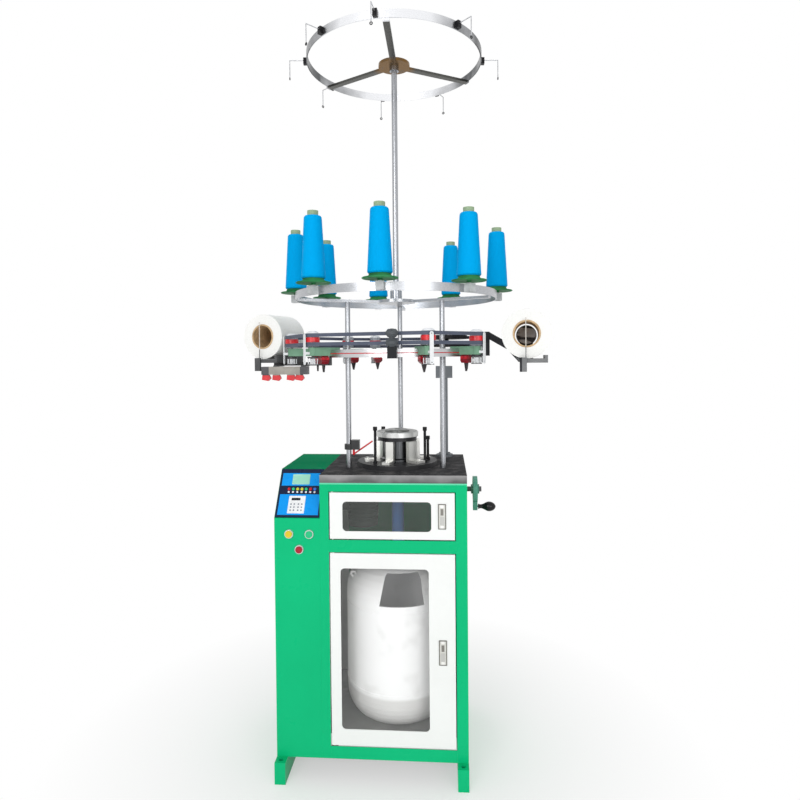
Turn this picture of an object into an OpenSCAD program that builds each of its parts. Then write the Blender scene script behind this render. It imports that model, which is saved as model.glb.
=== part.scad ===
// Hair tie making machine: a small circular knitting head on a sheet-metal cabinet,
// with a belt-driven yarn feeder ring, a cone creel and an overhead ring of yarn hooks.
// Millimetres, +Z up. The origin lies on the floor, at the centre of the four floor bolts.

/* [Cabinet] */
// Width of the cabinet with its control box
cabinet_w = 600; // [560:2:680]
// Depth of the cabinet
cabinet_d = 410; // [396:2:460]
// Height of the cabinet from the foot rails to the table
cabinet_h = 864; // [850:2:940]
// Thickness of the cabinet's sheet metal
sheet_t = 2; // [1.5:0.5:3]
// Height of the barrel floor above the cabinet's lower edge
floor_rise = 69; // [50:1:80]
// Width of the control box at the left
control_w = 144; // [130:1:150]
// Height of the sloping control panel
panel_drop = 136; // [110:1:150]
// Depth of the sloping control panel
panel_run = 100; // [80:1:120]
// Thickness of the panel's overlay
panel_t = 3; // [2:0.5:5]
// Thickness of the table plate
table_t = 25; // [18:1:32]

/* [Foot rails] */
// Width of a foot rail
rail_w = 34; // [28:1:45]
// Height of a foot rail
rail_h = 68; // [50:1:80]
// Length of a foot rail beyond the cabinet, at the front and at the rear
rail_over = 32; // [28:1:50]
// Diameter of a floor bolt hole
bolt_hole_d = 14; // [10:0.5:18]
// Distance of a floor bolt hole from the rail's end
bolt_inset = 17; // [14:0.5:20]

/* [Doors] */
// Width of the front sheet between the control box and the doors
stile_left = 28; // [24:1:36]
// Width of the front sheet at the right of the doors
stile_right = 35; // [24:1:45]
// Height of the front sheet above the upper door
top_rail_h = 27; // [22:1:34]
// Height of the upper door's opening
upper_open_h = 150; // [140:1:165]
// Height of the front sheet between the doors
mid_rail_h = 39; // [34:1:50]
// Height of the lower door's opening
lower_open_h = 609; // [590:1:612]
// Thickness of a door
door_t = 12; // [10:0.5:14]
// Gap around a door
door_gap = 3; // [2.5:0.25:4]
// Distance of a hinge pin from the door's edge
hinge_inset = 8; // [7:0.5:10]
// Diameter of a hinge pin
hinge_pin_d = 6; // [4:0.5:7]
// Corner radius of a door's window
window_r = 13; // [6:0.5:20]
// Thickness of a window pane
pane_t = 3; // [2:0.5:4]
// Width of a latch plate
latch_w = 25; // [22:0.5:28]
// Height of a latch plate
latch_h = 78; // [70:1:86]
// Height of the lower latch above the lower door's opening
lower_latch_z = 302; // [240:1:340]

/* [Push buttons] */
// Diameter of a push button
button_d = 22; // [18:0.5:24]
// Diameter of a button's bezel
bezel_d = 30; // [28:0.5:34]
// Distance between the two upper buttons
button_pitch = 64; // [50:1:70]
// Height of the upper buttons below the control panel
button_drop = 49; // [40:1:60]
// Height of the stop button below the upper buttons
stop_drop = 48; // [40:1:60]

/* [Barrel] */
// Outer diameter of the barrel
barrel_d = 350; // [320:2:360]
// Diameter of the barrel's foot
barrel_foot_d = 240; // [200:2:260]
// Height of the barrel's sloping foot
barrel_foot_h = 84; // [60:1:100]
// Height of the barrel from its floor to the start of its shoulder
barrel_wall_h = 406; // [370:1:420]
// Height of the barrel's domed shoulder
barrel_dome_h = 108; // [90:1:115]
// Diameter of the barrel's mouth
barrel_mouth_d = 150; // [120:1:180]
// Wall of the barrel
barrel_t = 4; // [3:0.5:6]
// Outer diameter of the chute tube
chute_d = 41; // [36:0.5:46]
// Wall of the chute tube
chute_t = 2; // [1.5:0.25:3]

/* [Knitting head] */
// Diameter of the head's round base
head_base_d = 274; // [260:1:290]
// Height of the head's base above the table
head_base_rise = 14; // [8:0.5:18]
// Diameter of the needle cylinder
cylinder_d = 92; // [84:1:98]
// Height of the needle cylinder above the head's base
cylinder_h = 80; // [74:1:82]
// Bore of the needle cylinder
cylinder_bore_d = 50; // [46:0.5:54]
// Number of needle slots
needle_slots = 40; // [24:1:60]
// Outer diameter of the cam ring
cam_ring_d = 142; // [138:1:150]
// Height of the cam ring above the head's base
cam_ring_rise = 69; // [66:1:74]
// Height of the cam ring
cam_ring_h = 30; // [26:1:34]
// Diameter of the dial on the cam ring
dial_d = 84; // [70:1:96]
// Height of the dial
dial_h = 6; // [4:1:10]
// Distance of the head's posts from the head's axis
post_circle_r = 104; // [100:1:112]
// Height of the head's tallest post
post_h = 121; // [110:1:130]

/* [Pillars and mast] */
// Diameter of a pillar
pillar_d = 17; // [14:0.5:20]
// Distance of the pillars from the machine's axis
pillar_circle_r = 171; // [164:1:176]
// Height of a pillar above the table
pillar_h = 545; // [520:1:580]
// Diameter of the mast
mast_d = 19; // [16:0.5:24]
// Height of the mast above the creel's hub
mast_h = 782; // [700:1:840]

/* [Rings] */
// Outer diameter of the creel ring
creel_ring_d = 674; // [650:2:700]
// Outer diameter of the overhead ring
top_ring_d = 584; // [540:2:620]
// Height of a ring's band
band_h = 25; // [20:1:28]
// Thickness of a ring's band
band_t = 4; // [3:0.5:5]
// Width of a ring's spoke
spoke_w = 20; // [16:1:26]
// Thickness of a ring's spoke
spoke_t = 8; // [6:0.5:10]
// Diameter of the creel's hub plate
creel_hub_d = 130; // [100:1:150]
// Diameter of the overhead ring's hub plate
top_hub_d = 105; // [80:1:120]
// Reach of a yarn hook beyond its clamp
hook_reach = 46; // [36:1:56]
// Drop of a yarn hook
hook_drop = 57; // [40:1:70]
// Diameter of a yarn hook's wire
hook_wire_d = 3; // [2.5:0.25:4]

/* [Yarn cones] */
// Distance of the cones from the machine's axis
cone_circle_r = 346; // [342:1:352]
// Diameter of a cone holder's disc
disc_d = 106; // [96:1:116]
// Thickness of a cone holder's disc
disc_t = 4; // [3:0.5:6]
// Height of a cone holder's disc above the creel ring
disc_rise = 7; // [5:0.5:12]
// Height of a cone holder's seat
seat_h = 11; // [8:0.5:14]
// Diameter of the yarn at a cone's foot
yarn_base_d = 73; // [66:1:80]
// Diameter of the yarn at a cone's shoulder
yarn_top_d = 54; // [46:1:58]
// Height of the yarn on a cone
yarn_h = 186; // [160:1:200]
// Diameter of a cone's tube
tube_d = 33; // [28:0.5:36]
// Wall of a cone's tube
tube_t = 2; // [1.5:0.25:3]
// Length of a cone's tube above the yarn
tube_over = 15; // [8:1:20]

/* [Feeder ring] */
// Outer diameter of the feeder ring
feeder_ring_d = 504; // [496:1:512]
// Height of the feeder ring above the table
feeder_ring_rise = 363; // [350:1:375]
// Distance of the feeders' rotors from the machine's axis
feeder_circle_r = 308; // [304:1:314]
// Distance of the left-hand elastic feeder's rotor from the machine's axis
elastic_feeder_r = 360; // [354:1:364]
// Width of a feeder's housing
housing_w = 26; // [22:1:30]
// Height of a feeder's housing
housing_h = 26; // [20:1:28]
// Diameter of a feeder's pulleys
pulley_d = 41; // [38:0.5:44]
// Diameter of the collar between a feeder's pulleys
pulley_collar_d = 45; // [44.5:0.5:47]
// Diameter of a feeder's yarn drum
drum_d = 34; // [30:0.5:36]
// Height of a feeder's yarn drum
drum_h = 26; // [20:1:27]
// Diameter of a feeder's shaft
rotor_shaft_d = 8; // [6:0.5:10]
// Width of a drive belt
belt_w = 11; // [9:0.5:12]
// Thickness of a drive belt
belt_t = 1.6; // [1.2:0.1:2.5]
// Height between the two drive belts
belt_pitch = 28; // [27:0.5:34]
// Diameter of the belt tensioner's pulleys
tension_d = 38; // [32:1:42]
// Place of the belt tensioner along its stretch of belt
tension_along = 92; // [70:1:110]

/* [Belt drive] */
// Distance of the belt drive column from the machine's axis
column_inset = 68; // [62:1:76]
// Diameter of the belt drive's pulleys
drive_pulley_d = 170; // [164:1:176]
// Diameter of the belt drive's shaft
drive_shaft_d = 12; // [10:0.5:14]
// Height of the column's tube above the table
column_h = 286; // [260:1:300]
// Height of the column's bearing block
column_block_h = 43; // [30:1:44]
// Height of the gear case under the cabinet's top
gear_case_h = 50; // [44:1:54]
// Diameter of the drive motor
motor_d = 110; // [90:1:116]
// Length of the drive motor
motor_h = 150; // [120:1:165]

/* [Elastic rolls] */
// Outer diameter of an elastic roll
roll_d = 156; // [140:1:164]
// Length of an elastic roll
roll_len = 150; // [130:1:160]
// Bore of a roll's cardboard core
core_bore_d = 76; // [70:1:80]
// Wall of a roll's cardboard core
core_t = 5; // [3:0.5:7]
// Thickness of the tray under a roll
tray_t = 13; // [10:0.5:16]

/* [Crank] */
// Height of the crank below the table's top
crank_drop = 63; // [60:0.5:66]
// Radius of the crank's wheel
crank_wheel_r = 41; // [34:0.5:44]
// Thickness of the crank's wheel
crank_wheel_t = 14; // [10:0.5:18]
// Distance of the crank's handle from its shaft
crank_throw = 56; // [50:0.5:62]
// Diameter of the crank's shaft
crank_shaft_d = 16; // [12:0.5:18]
// Length of the crank's grip
grip_len = 56; // [46:1:66]
// Largest diameter of the crank's grip
grip_d = 31; // [26:0.5:36]
// Diameter of the grip's pin
grip_pin_d = 6; // [4:0.5:8]

/* [Clearances] */
// Gap in the joints between the cabinet's sheets
sheet_gap = 0.1; // [0.05:0.05:0.3]
// Radial clearance of a running shaft
run_clear = 0.05; // [0.02:0.01:0.1]
// Clearance of a seated piece
seat_clear = 0.3; // [0.2:0.05:0.5]

/* [Hidden] */
$fn = 48;
over = 1;

// Corners of the cabinet
x_left = -cabinet_w / 2;
x_right = cabinet_w / 2;
y_front = -cabinet_d / 2;
y_rear = cabinet_d / 2;
x_control = x_left + control_w;
z_cabinet = rail_h;
z_cabinet_top = rail_h + cabinet_h;
z_table = z_cabinet_top + table_t;
z_panel = z_table - panel_drop;
z_floor = z_cabinet + floor_rise;
machine_x = (x_control + x_right) / 2;
panel_len = sqrt(panel_run * panel_run + panel_drop * panel_drop);
panel_angle = atan2(panel_drop, panel_run);
panel_margin = 2;

// Foot rails and their bolt holes
rail_x = x_right - rail_w / 2;
bolt_y = cabinet_d / 2 + rail_over - bolt_inset;

// Doors: openings, windows, hinges and latches
open_x = x_control + stile_left;
open_w = x_right - stile_right - open_x;
upper_open_z = z_cabinet_top - top_rail_h - upper_open_h;
lower_open_z = upper_open_z - mid_rail_h - lower_open_h;
door_recess = 1;
door_y = y_front + door_recess;
door_skin = 2;
hinge_x = open_x + door_gap + hinge_inset;
hinge_y = door_y + door_t / 2;
lug_w = 20;
lug_h = 10;
pin_len = door_gap + lug_h - over;
floor_front = hinge_y + norm([hinge_inset, door_t / 2]) + door_gap;
in_front = y_front + sheet_t + sheet_gap;
in_rear = y_rear - sheet_t - sheet_gap;
z_top_sheet = z_cabinet_top - sheet_t;
wire_way = 120;
// Margins of a window inside its opening: left, right, bottom and top
upper_margins = [43, 75, 27, 31];
lower_margins = [35, 84, 54, 50];
pane_lap = 8;
latch_edge = 42;
latch_plate_t = 1.5;
latch_lap = 2;
latch_x = open_x + open_w - latch_edge;
upper_latch_mid = upper_open_z + upper_open_h / 2;
lower_latch_mid = lower_open_z + lower_latch_z;
latch_body_w = latch_w - 2 * latch_lap;
latch_body_h = latch_h - 2 * latch_lap;
latch_depth = 9;
latch_button_w = 13;
latch_button_h = 26;
latch_button_proud = 1;
latch_button_depth = 6;

// Push buttons
button_x = x_left + control_w / 2 + 6.5;
button_z = z_panel - button_drop;
stop_z = button_z - stop_drop;
button_spots = [[-button_pitch / 2, button_z], [button_pitch / 2, button_z], [0, stop_z]];
bezel_t = 5;
button_proud = 9;
button_depth = 24;
button_travel = 4;

// Knitting head
z_head = z_table + head_base_rise;
sleeve_d = cylinder_d + 12;
sleeve_rise = 6;
z_cylinder_top = z_head + cylinder_h;
z_cam_ring = z_head + cam_ring_rise;
z_gear_case = z_cabinet_top - sheet_t - gear_case_h;
sleeve_foot = z_cabinet_top - sheet_t - gear_case_h / 2;
sleeve_gap = 3;
slot_w = 1.8;
slot_depth = 2.5;
needle_w = 0.8;
needle_rise = 4;
needle_in = 0.5;
// Barrel's seams, cut-out and lug
seam_up = 27;
seam_down = 36;
cut_shift = 30;
cut_low = 9;
cut_outline = [[-79, 0], [63, 0], [52, 75], [42, 94], [-56, 94], [-62, 86]];
lug_angle = 206;
lug_turn = 154;
lug_up = 31;
lug_rise = 5;
lug_d = 20;
lug_t = 6;
lug_hole_d = 8;
cylinder_wall = 8;
bracket_t = 8;
bracket_foot = 50;
bracket_in_r = sleeve_d / 2 + 10;
bracket_depth = 14;
bracket_screw_d = 9;
cam_gap = 3;
cam_step_h = 13;
cam_step = 5;
cam_plate_t = 8;
// Angle and width of each bracket that carries the cam ring
brackets = [[-106, 26], [-42, 38], [18, 24], [78, 24], [138, 24], [196, 30]];
// Angle of each post on the head's base, and its height as a share of the tallest
posts = [[-130, 1], [123, 0.85], [-24, 0.96], [6, 0.66]];
post_d = 9;
knob_d = 14;
knob_h = 12;

// Pillars, creel and overhead ring
spoke_angles = [-25, 90, 205];
z_creel = z_table + pillar_h;
z_creel_band = z_creel + spoke_t;
z_creel_top = z_creel_band + band_h;
creel_hub_t = 10;
mast_collar_d = 40;
mast_collar_h = 32;
z_mast = z_creel + creel_hub_t;
z_top = z_mast + mast_h;
top_spoke_angles = [-90, 30, 150];
z_top_band = z_top + spoke_t;
hook_angles = [-175, -134, -96, -45, 5, 62, 103, 144];
hook_clamp = [12, 14, 21];
hook_eye_r = 3.5;

// Yarn cones
cone_angles = [178, -131, -93, -47, 8, 57, 106, 143];
z_disc = z_creel_top + disc_rise;
z_seat = z_disc + disc_t + seat_h;
clamp_block = 24;
yarn_shoulder = 9;

// Feeder ring and feeders
z_feeder_ring = z_table + feeder_ring_rise;
z_ring_top = z_feeder_ring + band_h;
ring_out_r = feeder_ring_d / 2;
ring_in_r = ring_out_r - band_t;
// Angle and distance of each feeder's rotor from the machine's axis
feeders = [
    [180, elastic_feeder_r], [-144, feeder_circle_r], [-68, feeder_circle_r], [-32, feeder_circle_r],
    [27, feeder_circle_r], [71, feeder_circle_r], [110, feeder_circle_r], [131, feeder_circle_r]
];
z_housing = z_ring_top + 7 - housing_h;
z_housing_top = z_housing + housing_h;
housing_tail = 28;
housing_nose_r = 14;
belt_gap = 3.5;
z_lower_belt = z_housing_top + belt_gap + 1;
z_upper_belt = z_lower_belt + belt_pitch;
pulley_h = belt_w + 2;
z_lower_pulley = z_lower_belt - 1;
z_upper_pulley = z_upper_belt - 1;
rotor_cap_h = 7;
z_drum_top = z_housing - 3;
drum_flange_t = 3;
drum_pin_d = 2.8;
drum_pins = 8;
collar_d = pillar_d + 17;
collar_h = 20;
arm_w = 14;
stop_block = [24, 32, 26];
stop_corner = 7;
stop_r = ring_out_r + 19;
feeler_h = 26;
feeler_t = 5;
guide_t = 3;
guide_w = 12;
guide_r = 26;
guide_up = 36;
guide_down = 26;
guide_eye_r = 1.8;

// Belt tensioner: it presses on the stretch of belt from the second to the third feeder
tension_mid = (feeders[1][0] + feeders[2][0]) / 2;
tension_half = (feeders[2][0] - feeders[1][0]) / 2;
belt_out_r = pulley_d / 2 + seat_clear + belt_t;
tension_r = feeder_circle_r * cos(tension_half) + belt_out_r + seat_clear + tension_d / 2;
tension_angle = tension_mid + atan2(tension_along, tension_r);
tension_far = sqrt(tension_r * tension_r + tension_along * tension_along);
tension_axle_d = 10;
tension_disc_h = 24;
z_tension_top = z_upper_belt + belt_w / 2 + tension_disc_h / 2 + 1;
tension_block_w = 28;
z_tension_block = z_feeder_ring - 4;

// Belt drive
column_back = 40;
column_way = [x_right - machine_x - column_inset, y_rear - column_back];
column_angle = atan2(column_way[1], column_way[0]);
column_r = norm(column_way);
column_d = 26;
column_flange_d = 60;
column_flange_t = 8;
column_block_w = 60;
column_block_d = 42;
z_column_block = z_table + column_h;
gear_case_r = 92;
crank_y = -100;
gear_arm_w = 64;
motor_pad_r = motor_d / 2 + 6;
motor_gap = 37;
motor_back = 75;
motor_way = [x_control + motor_gap + motor_pad_r - machine_x, motor_back];
motor_angle = atan2(motor_way[1], motor_way[0]);
motor_r = norm(motor_way);
motor_foot_h = 22;
motor_flange_h = 14;

// Elastic rolls: near end's centre from the axis and above the feeder ring's foot, and turn towards +X
left_roll_out = 469;
left_roll_back = 22;
left_roll_rise = 75;
right_roll_out = 419;
right_roll_front = 135;
right_roll_rise = 70;
rolls = [[-left_roll_out, left_roll_back, left_roll_rise, 18],
         [right_roll_out, -right_roll_front, right_roll_rise, 7]];
roll_seat_r = roll_d / 2 + seat_clear;
tray_left = 22;
tray_right = 56;
tray_lip = 8;
tray_lip_h = 11;
tray_over = 12;
holder_t = 6;
holder_r = 34;
hub_d = core_bore_d - 16;
hub_len = 24;
rod_plate_w = 22;
rod_plate_h = 45;
roll_arm = [20, 12];
arm_clamp_w = 16;
post_angle = 7.4;
post_gap = 9;
belt_span = (feeders[4][0] - feeders[3][0]) / 2;
belt_span_r = feeder_circle_r * cos(belt_span) + belt_out_r;
post_in_r = belt_span_r / cos(post_angle - feeders[3][0] - belt_span) + post_gap;
post_w = 14;
slope_start = -142;
slope_rise = 14;
slope_w = 16;
guide_rod_d = 3;
guide_rod_up = 50;
detector = [160, 30, 27];
detector_left = 463;
detector_x = machine_x - detector_left;
detector_y = -20;
strap = [12, 4];
z_strap = tray_low(rolls[0]) - roll_arm[1] + strap[1] - over;
strap_in = 40;
// Left end of each detector's paddle from the first one's
paddle_steps = [0, 36, 86, 116];
paddle = [31, 12, 22];

// Crank
z_crank = z_table - crank_drop;
crank_gap = 22;
crank_x = x_right + crank_gap;
crank_hub_d = 30;
crank_hub_out = 6;
crank_boss_r = 13;
grip_gap = 2;
grip_neck_d = 13;

// Shared shapes

// Box between two corners
module block(low, high) {
    translate(low) cube(high - low);
}

// Rectangle with round corners, from its lower left corner
module round_rect(w, h, r) {
    translate([r, 0]) square([w - 2 * r, h]);
    translate([0, r]) square([w, h - 2 * r]);
    for (x = [r, w - r], y = [r, h - r]) translate([x, y]) circle(r);
}

// Plate with round corners that stands in the plane of the front, from y to y + t
module front_plate(x, y, z, w, h, t, r) {
    translate([x, y + t, z]) rotate([90, 0, 0]) linear_extrude(t) round_rect(w, h, r);
}

// Round rod along the front-to-rear direction
module front_rod(x, y, z, d, length) {
    translate([x, y, z]) rotate([-90, 0, 0]) cylinder(d = d, h = length);
}

// Places its children on the machine's axis
module on_axis() {
    translate([machine_x, 0, 0]) children();
}

// Places its children at an angle and a distance from the machine's axis, with +X pointing outwards
module polar(angle, r) {
    on_axis() rotate(angle) translate([r, 0, 0]) children();
}

// Flat ring standing on z
module band(d, t, h, z) {
    translate([0, 0, z]) difference() {
        cylinder(d = d, h = h);
        translate([0, 0, -over]) cylinder(d = d - 2 * t, h = h + 2 * over);
    }
}

// Upright tube
module tube(d, bore, z, h) {
    translate([0, 0, z]) difference() {
        cylinder(d = d, h = h);
        translate([0, 0, -over]) cylinder(d = bore, h = h + 2 * over);
    }
}

// Round rod between two points
module rod(a, b, d) {
    run = b - a;
    length = norm(run);
    translate(a) rotate([0, acos(run[2] / length), atan2(run[1], run[0])]) cylinder(d = d, h = length);
}

// Small wire ring with its plane across X
module eye(r, wire_d) {
    rotate([0, 90, 0]) rotate_extrude() translate([r, 0]) circle(d = wire_d);
}

// Cabinet and table

module foot_rails() {
    color("seagreen") for (side = [-1, 1]) translate([side * rail_x, 0, 0]) difference() {
        block([-rail_w / 2, -cabinet_d / 2 - rail_over, 0], [rail_w / 2, cabinet_d / 2 + rail_over, rail_h]);
        for (y = [-bolt_y, bolt_y]) translate([0, y, -over]) cylinder(d = bolt_hole_d, h = rail_h + 2 * over);
    }
}

// Lug with a socket for a door's hinge pin, above or below the door's opening
module hinge_lug(z) {
    difference() {
        block([hinge_x - lug_w / 2, in_front, z], [hinge_x + lug_w / 2, hinge_y + lug_w / 2, z + lug_h]);
        translate([hinge_x, hinge_y, z - over])
            cylinder(d = hinge_pin_d + 2 * run_clear, h = lug_h + 2 * over);
    }
}

rear_flange = 26;
rear_low = z_floor + rear_flange;
rear_screw_d = 8;

// Openings in the cabinet's rear: left end, right end and top
rear_openings = [
    [x_left + rear_flange, x_control - rear_flange, z_panel - rear_flange],
    [x_control + rear_flange, x_right - rear_flange, z_cabinet_top - gear_case_h - rear_flange]
];

// Front sheets: the control box's front, the stiles and the rails around the doors
module front_sheets() {
    y1 = y_front + sheet_t;
    top = z_top_sheet - sheet_gap;
    x_open_end = open_x + open_w;
    rails = [[z_cabinet, lower_open_z], [lower_open_z + lower_open_h, upper_open_z],
             [upper_open_z + upper_open_h, top]];
    difference() {
        block([x_left, y_front, z_cabinet], [x_control - sheet_gap, y1, z_panel]);
        for (b = button_spots)
            front_rod(button_x + b[0], y_front - over, b[1], button_d + 2 * seat_clear, 2 * sheet_t);
    }
    block([x_control, y_front, z_cabinet], [open_x, y1, top]);
    block([x_open_end, y_front, z_cabinet], [x_right, y1, top]);
    for (r = rails) block([open_x + sheet_gap, y_front, r[0]], [x_open_end - sheet_gap, y1, r[1]]);
}

// Rear sheets, each with an opening for its cover
module rear_sheets() {
    ends = [[x_left, x_control - sheet_gap, z_panel], [x_control, x_right, z_top_sheet - sheet_gap]];
    for (i = [0 : 1]) difference() {
        block([ends[i][0], y_rear - sheet_t, z_cabinet], [ends[i][1], y_rear, ends[i][2]]);
        block([rear_openings[i][0], y_rear - 2 * sheet_t, rear_low],
              [rear_openings[i][1], y_rear + over, rear_openings[i][2]]);
    }
}

// Strips of the top sheet around the cut-out for the knitting head's drive
module top_sheets() {
    half = sleeve_d / 2 + 2 * sleeve_gap;
    z = z_top_sheet;
    block([x_control, y_front, z], [x_right, -half - sheet_gap, z_cabinet_top]);
    block([x_control, -half, z], [machine_x - half, half, z_cabinet_top]);
    block([machine_x + half, -half, z], [x_right, half, z_cabinet_top]);
    difference() {
        block([x_control, half + sheet_gap, z], [x_right, y_rear, z_cabinet_top]);
        polar(column_angle, column_r) translate([0, 0, z - over])
            cylinder(d = drive_shaft_d + sleeve_gap, h = sheet_t + 2 * over);
    }
}

module cabinet_shell() {
    color("mediumseagreen") {
        block([x_left, in_front, z_cabinet], [x_left + sheet_t, in_rear, z_panel]);
        difference() {
            block([x_right - sheet_t, in_front, z_cabinet], [x_right, in_rear, z_top_sheet - sheet_gap]);
            translate([x_right - 2 * sheet_t, crank_y, z_crank]) rotate([0, 90, 0])
                cylinder(d = crank_shaft_d + 2 * run_clear, h = 4 * sheet_t);
        }
        block([x_control, in_front, z_floor + sheet_gap],
              [x_control + sheet_t, in_rear - wire_way, z_top_sheet - sheet_gap]);
        block([x_left + sheet_t + sheet_gap, floor_front, z_floor - sheet_t],
              [x_right - sheet_t - sheet_gap, in_rear, z_floor]);
        front_sheets();
        rear_sheets();
        top_sheets();
        for (z = [upper_open_z + upper_open_h, upper_open_z - lug_h,
                  lower_open_z + lower_open_h, lower_open_z - lug_h]) hinge_lug(z);
    }
}

module rear_covers() {
    lap = 14;
    screw_inset = 7;
    color("seagreen") for (r = rear_openings) {
        front_plate(r[0] - lap, y_rear, rear_low - lap, r[1] - r[0] + 2 * lap, r[2] - rear_low + 2 * lap,
            sheet_t, 4);
        for (x = [r[0] - screw_inset, r[1] + screw_inset],
             z = [rear_low - screw_inset, (rear_low + r[2]) / 2, r[2] + screw_inset])
            front_rod(x, y_rear + sheet_t / 2, z, rear_screw_d, sheet_t / 2 + 2.5);
    }
}

// Prism across the control box between two distances, from points in the plane of Y and Z
module across_box(from, to, points) {
    translate([from, 0, 0]) rotate([90, 0, 90]) linear_extrude(to - from) polygon(points);
}

module control_box_cover() {
    slope_run = sheet_t / sin(panel_angle);
    y_top = y_front + panel_run;
    from = x_left + sheet_t + sheet_gap;
    to = x_control - sheet_t - sheet_gap;
    z1 = z_table - sheet_t;
    color("seagreen") {
        for (x = [x_left, x_control - sheet_t]) across_box(x, x + sheet_t,
            [[y_front, z_panel], [y_rear, z_panel], [y_rear, z_table], [y_top, z_table]]);
        across_box(from, to, [[y_front, z_panel], [y_front + slope_run, z_panel],
            [y_top + slope_run, z_table], [y_top, z_table]]);
        across_box(from, to, [[y_top + slope_run + sheet_gap, z1], [y_rear, z1],
            [y_rear, z_table], [y_top + slope_run + sheet_gap, z_table]]);
        across_box(from, to, [[y_rear - sheet_t, z_panel], [y_rear, z_panel],
            [y_rear, z1 - sheet_gap], [y_rear - sheet_t, z1 - sheet_gap]]);
    }
}

module control_panel() {
    color("dodgerblue") translate([x_left + panel_margin, y_front, z_panel]) rotate([panel_angle, 0, 0])
        translate([0, panel_margin, 0]) linear_extrude(panel_t)
            round_rect(control_w - 2 * panel_margin, panel_len - 2 * panel_margin, 3);
}

module button_bezels() {
    color("silver") for (b = button_spots)
        translate([button_x + b[0], y_front, b[1]]) rotate([90, 0, 0]) rotate_extrude()
            polygon([
                [button_d / 2 + run_clear, 0], [bezel_d / 2, 0], [bezel_d / 2, bezel_t * 0.5],
                [bezel_d / 2 - 1.5, bezel_t], [button_d / 2 + run_clear, bezel_t]
            ]);
}

module push_button(dx, z, paint) {
    color(paint) translate([button_x + dx, y_front + button_depth, z]) rotate([90, 0, 0]) rotate_extrude()
        polygon([
            [0, 0], [button_d / 2, 0], [button_d / 2, button_depth + button_proud - 1.5],
            [button_d / 2 - 1.5, button_depth + button_proud], [0, button_depth + button_proud]
        ]);
}

module yellow_button() {
    push_button(-button_pitch / 2, button_z, "gold");
}

module green_button() {
    push_button(button_pitch / 2, button_z, "limegreen");
}

module red_button() {
    push_button(0, stop_z, "crimson");
}

module table_plate() {
    color("dimgray") difference() {
        block([x_control, y_front, z_cabinet_top], [x_right, y_rear, z_table]);
        on_axis() translate([0, 0, z_cabinet_top - over])
            cylinder(d = head_base_d + 2 * seat_clear, h = table_t + 2 * over);
        polar(column_angle, column_r) translate([0, 0, z_cabinet_top - over])
            cylinder(d = drive_shaft_d + sleeve_gap, h = table_t + 2 * over);
    }
}

// Doors

// Door panel: a shallow pan with a window, a latch hole and two hinge pins
module door(open_z, open_h, margins, latch_mid) {
    w = open_w - 2 * door_gap;
    h = open_h - 2 * door_gap;
    window_w = open_w - margins[0] - margins[1];
    window_h = open_h - margins[2] - margins[3];
    x = open_x + door_gap;
    z = open_z + door_gap;
    rim = hinge_inset + hinge_pin_d / 2 + 2;
    difference() {
        block([x, door_y, z], [x + w, door_y + door_t, z + h]);
        block([x + rim, door_y + door_skin, z + door_skin * 2],
              [x + w - door_skin * 2, door_y + door_t + over, z + h - door_skin * 2]);
        front_plate(open_x + margins[0], door_y - over, open_z + margins[2], window_w, window_h, door_t,
            window_r);
        block([latch_x - latch_body_w / 2 - seat_clear, door_y - over,
               latch_mid - latch_body_h / 2 - seat_clear],
              [latch_x + latch_body_w / 2 + seat_clear, door_y + door_t,
               latch_mid + latch_body_h / 2 + seat_clear]);
    }
    for (end = [z - pin_len, z + h]) translate([hinge_x, hinge_y, end])
        cylinder(d = hinge_pin_d, h = pin_len);
}

// Pane behind a door's window
module window_pane(open_z, open_h, margins) {
    front_plate(open_x + margins[0] - pane_lap, door_y + door_skin, open_z + margins[2] - pane_lap,
                open_w - margins[0] - margins[1] + 2 * pane_lap,
                open_h - margins[2] - margins[3] + 2 * pane_lap, pane_t, window_r);
}

// Latch body with its cover plate and a pocket for its push button
module latch(mid) {
    difference() {
        union() {
            front_plate(latch_x - latch_w / 2, door_y - latch_plate_t, mid - latch_h / 2, latch_w, latch_h,
                latch_plate_t, 2);
            block([latch_x - latch_body_w / 2, door_y, mid - latch_body_h / 2],
                  [latch_x + latch_body_w / 2, door_y + latch_depth, mid + latch_body_h / 2]);
        }
        block([latch_x - latch_button_w / 2 - run_clear, door_y - latch_plate_t - over,
               mid - latch_button_h - run_clear],
              [latch_x + latch_button_w / 2 + run_clear, door_y + latch_depth - door_skin, mid + run_clear]);
    }
}

module latch_button(mid) {
    front_y = door_y - latch_plate_t - latch_button_proud;
    block([latch_x - latch_button_w / 2, front_y, mid - latch_button_h],
          [latch_x + latch_button_w / 2, front_y + latch_button_depth, mid]);
}

module upper_door() {
    color("white") door(upper_open_z, upper_open_h, upper_margins, upper_latch_mid);
}

module upper_window() {
    color("slategray") window_pane(upper_open_z, upper_open_h, upper_margins);
}

module upper_latch() {
    color("silver") latch(upper_latch_mid);
}

module upper_latch_button() {
    color("gainsboro") latch_button(upper_latch_mid);
}

module lower_door() {
    color("white") door(lower_open_z, lower_open_h, lower_margins, lower_latch_mid);
}

module lower_window() {
    color("lightgray") window_pane(lower_open_z, lower_open_h, lower_margins);
}

module lower_latch() {
    color("silver") latch(lower_latch_mid);
}

module lower_latch_button() {
    color("gainsboro") latch_button(lower_latch_mid);
}

// Barrel, chute and drive under the table

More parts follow.
